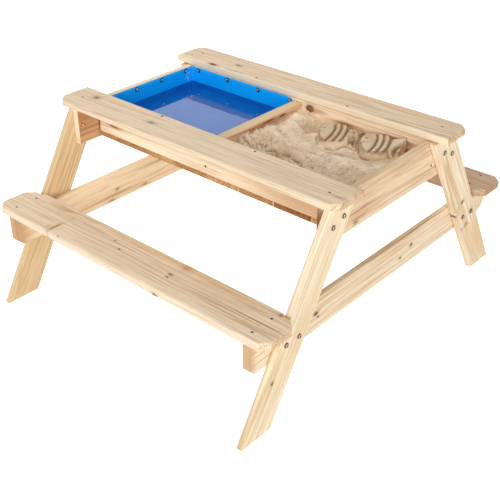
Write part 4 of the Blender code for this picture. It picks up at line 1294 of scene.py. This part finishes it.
def sand_material():
    """Damp play sand: pale grains among darker ones, darker where it is moist, with painted shade in its
    hollows and the shade that its mesh carries.
    """
    material, w, shader = new_material("play_sand", 0.9, 0.0, (0.6, 0.47, 0.33), Specular_IOR_Level=0.1)
    place = w.place()
    moist = w.noise(place, (16.0, 16.0, 40.0), 3.0)
    colour = w.mix(w.fade(moist, 0.36, 0.66), (0.94, 0.765, 0.57), (0.78, 0.595, 0.405))
    names = ("hollow", "shade")
    hollow, shade = (w.add("Attribute", {"attribute_name": name}).outputs["Fac"] for name in names)
    # Painted shade: darker in the sand's hollows
    colour = w.mix(w.fade(hollow, -0.3, 1.3, 0.0, 0.75), colour, (0.4, 0.26, 0.145))
    # The mesh's shade: painted shade in grooves, eyes, furrows and at the feet of moulds and bank, lighter
    # on the scales' crests for a painted highlight, over the moulded sand's darker tone
    colour = w.mix(w.times(shade, 0.85), colour, (0.32, 0.17, 0.068))
    grain = w.noise(place, 1300.0, 2.0, 0.7)
    colour = w.tinted(colour, w.line(grain, 0.9, 0.6))
    speck = w.fade(w.noise(place, 800.0), 0.7, 0.74)
    colour = w.mix(w.times(speck, 0.55), colour, (0.16, 0.11, 0.07))
    bright = w.fade(w.noise(w.vector("ADD", place, (3.0, 5.0, 7.0)), 900.0), 0.71, 0.75)
    colour = w.mix(w.times(bright, 0.6), colour, (0.86, 0.78, 0.66))
    w.dress(shader, colour, w.line(w.noise(place, 420.0, 2.0), 1.6, grain), 0.55, 0.0009)
    return material


# Floor, light and camera


def seen_by_eye(w):
    """1 for camera, glossy and transmission rays, 0 for the rays that light the object."""
    rays = w.add("LightPath").outputs
    seen = w.plus(rays["Is Camera Ray"], rays["Is Glossy Ray"])
    return w.plus(seen, rays["Is Transmission Ray"], clamp=True)


def make_floor():
    """A white floor that stays white in the picture and keeps a faint shadow."""
    shape = bmesh.new()
    bmesh.ops.create_grid(shape, x_segments=1, y_segments=1, size=FLOOR_SIZE / 2)
    mesh = bpy.data.meshes.new("floor")
    shape.to_mesh(mesh)
    shape.free()
    floor = linked_object("floor", mesh)
    material = bpy.data.materials.new("white_floor")
    w = emptied(material)
    paint = w.add("BsdfDiffuse", Color=(FLOOR_GREY, FLOOR_GREY, FLOOR_GREY))
    strength = w.line(seen_by_eye(w), FLOOR_SHOWN - FLOOR_BOUNCE, FLOOR_BOUNCE)
    glow = w.add("Emission", Color=WHITE, Strength=strength)
    shown = w.add("AddShader")
    w.feed(shown.inputs[0], paint.outputs[0])
    w.feed(shown.inputs[1], glow.outputs[0])
    w.add("OutputMaterial", Surface=shown.outputs[0])
    mesh.materials.append(material)


def make_world():
    """A white surround: plain white where it is seen, dimmer where it lights the object."""
    world = bpy.data.worlds.new("studio")
    w = emptied(world)
    strength = w.line(seen_by_eye(w), 1.0 - WORLD_FILL, WORLD_FILL)
    w.add("OutputWorld", Surface=w.add("Background", Color=WHITE, Strength=strength).outputs[0])
    bpy.context.scene.world = world


def make_panel(name, azimuth, height, distance, size, strength, colour):
    """A soft light panel that looks at the table, placed round it from the camera's side."""
    camera_side = Vector(CAMERA_PLACE) - Vector(CAMERA_AIM)
    turn = math.atan2(camera_side.y, camera_side.x) + math.radians(azimuth)
    rise = math.radians(height)
    towards = Vector((math.cos(turn) * math.cos(rise), math.sin(turn) * math.cos(rise), math.sin(rise)))
    lamp = bpy.data.lights.new(name, "AREA")
    lamp.shape = "RECTANGLE"
    lamp.size, lamp.size_y = size
    lamp.energy = strength * math.pi * size[0] * size[1]
    lamp.color = colour
    panel = linked_object(name, lamp)
    panel.location = Vector(PANEL_AIM) + towards * distance
    panel.rotation_euler = towards.to_track_quat("Z", "Y").to_euler()


def make_camera():
    """The camera at the photograph's place."""
    lens = bpy.data.cameras.new("camera")
    lens.sensor_width = CAMERA_SENSOR
    lens.lens = CAMERA_LENS
    camera = linked_object("camera", lens)
    place = Vector(CAMERA_PLACE)
    look = (Vector(CAMERA_AIM) - place).to_track_quat("-Z", "Y").to_matrix().to_4x4()
    camera.matrix_world = Matrix.Translation(place) @ look @ Matrix.Rotation(CAMERA_ROLL, 4, "Z")
    bpy.context.scene.camera = camera


def main():
    """Dress the table and light it."""
    make_camera()
    make_world()
    for name, panel in PANELS.items():
        make_panel(name, *panel)
    make_floor()
    dress_boards()
    metals = {name: metal_material(name) for name in METALS}
    make_bolts([metals["zinc"], metals["grime_and_shade"], metals["brass"]])
    make_studs([metals["nickel"], metals["rim_shade_and_reflection"]])
    make_screws(metals["screw_zinc"])
    make_liner(liner_material())
    make_water(water_material())
    make_sand(sand_material())
    bpy.context.scene.view_settings.view_transform = "Standard"


main()
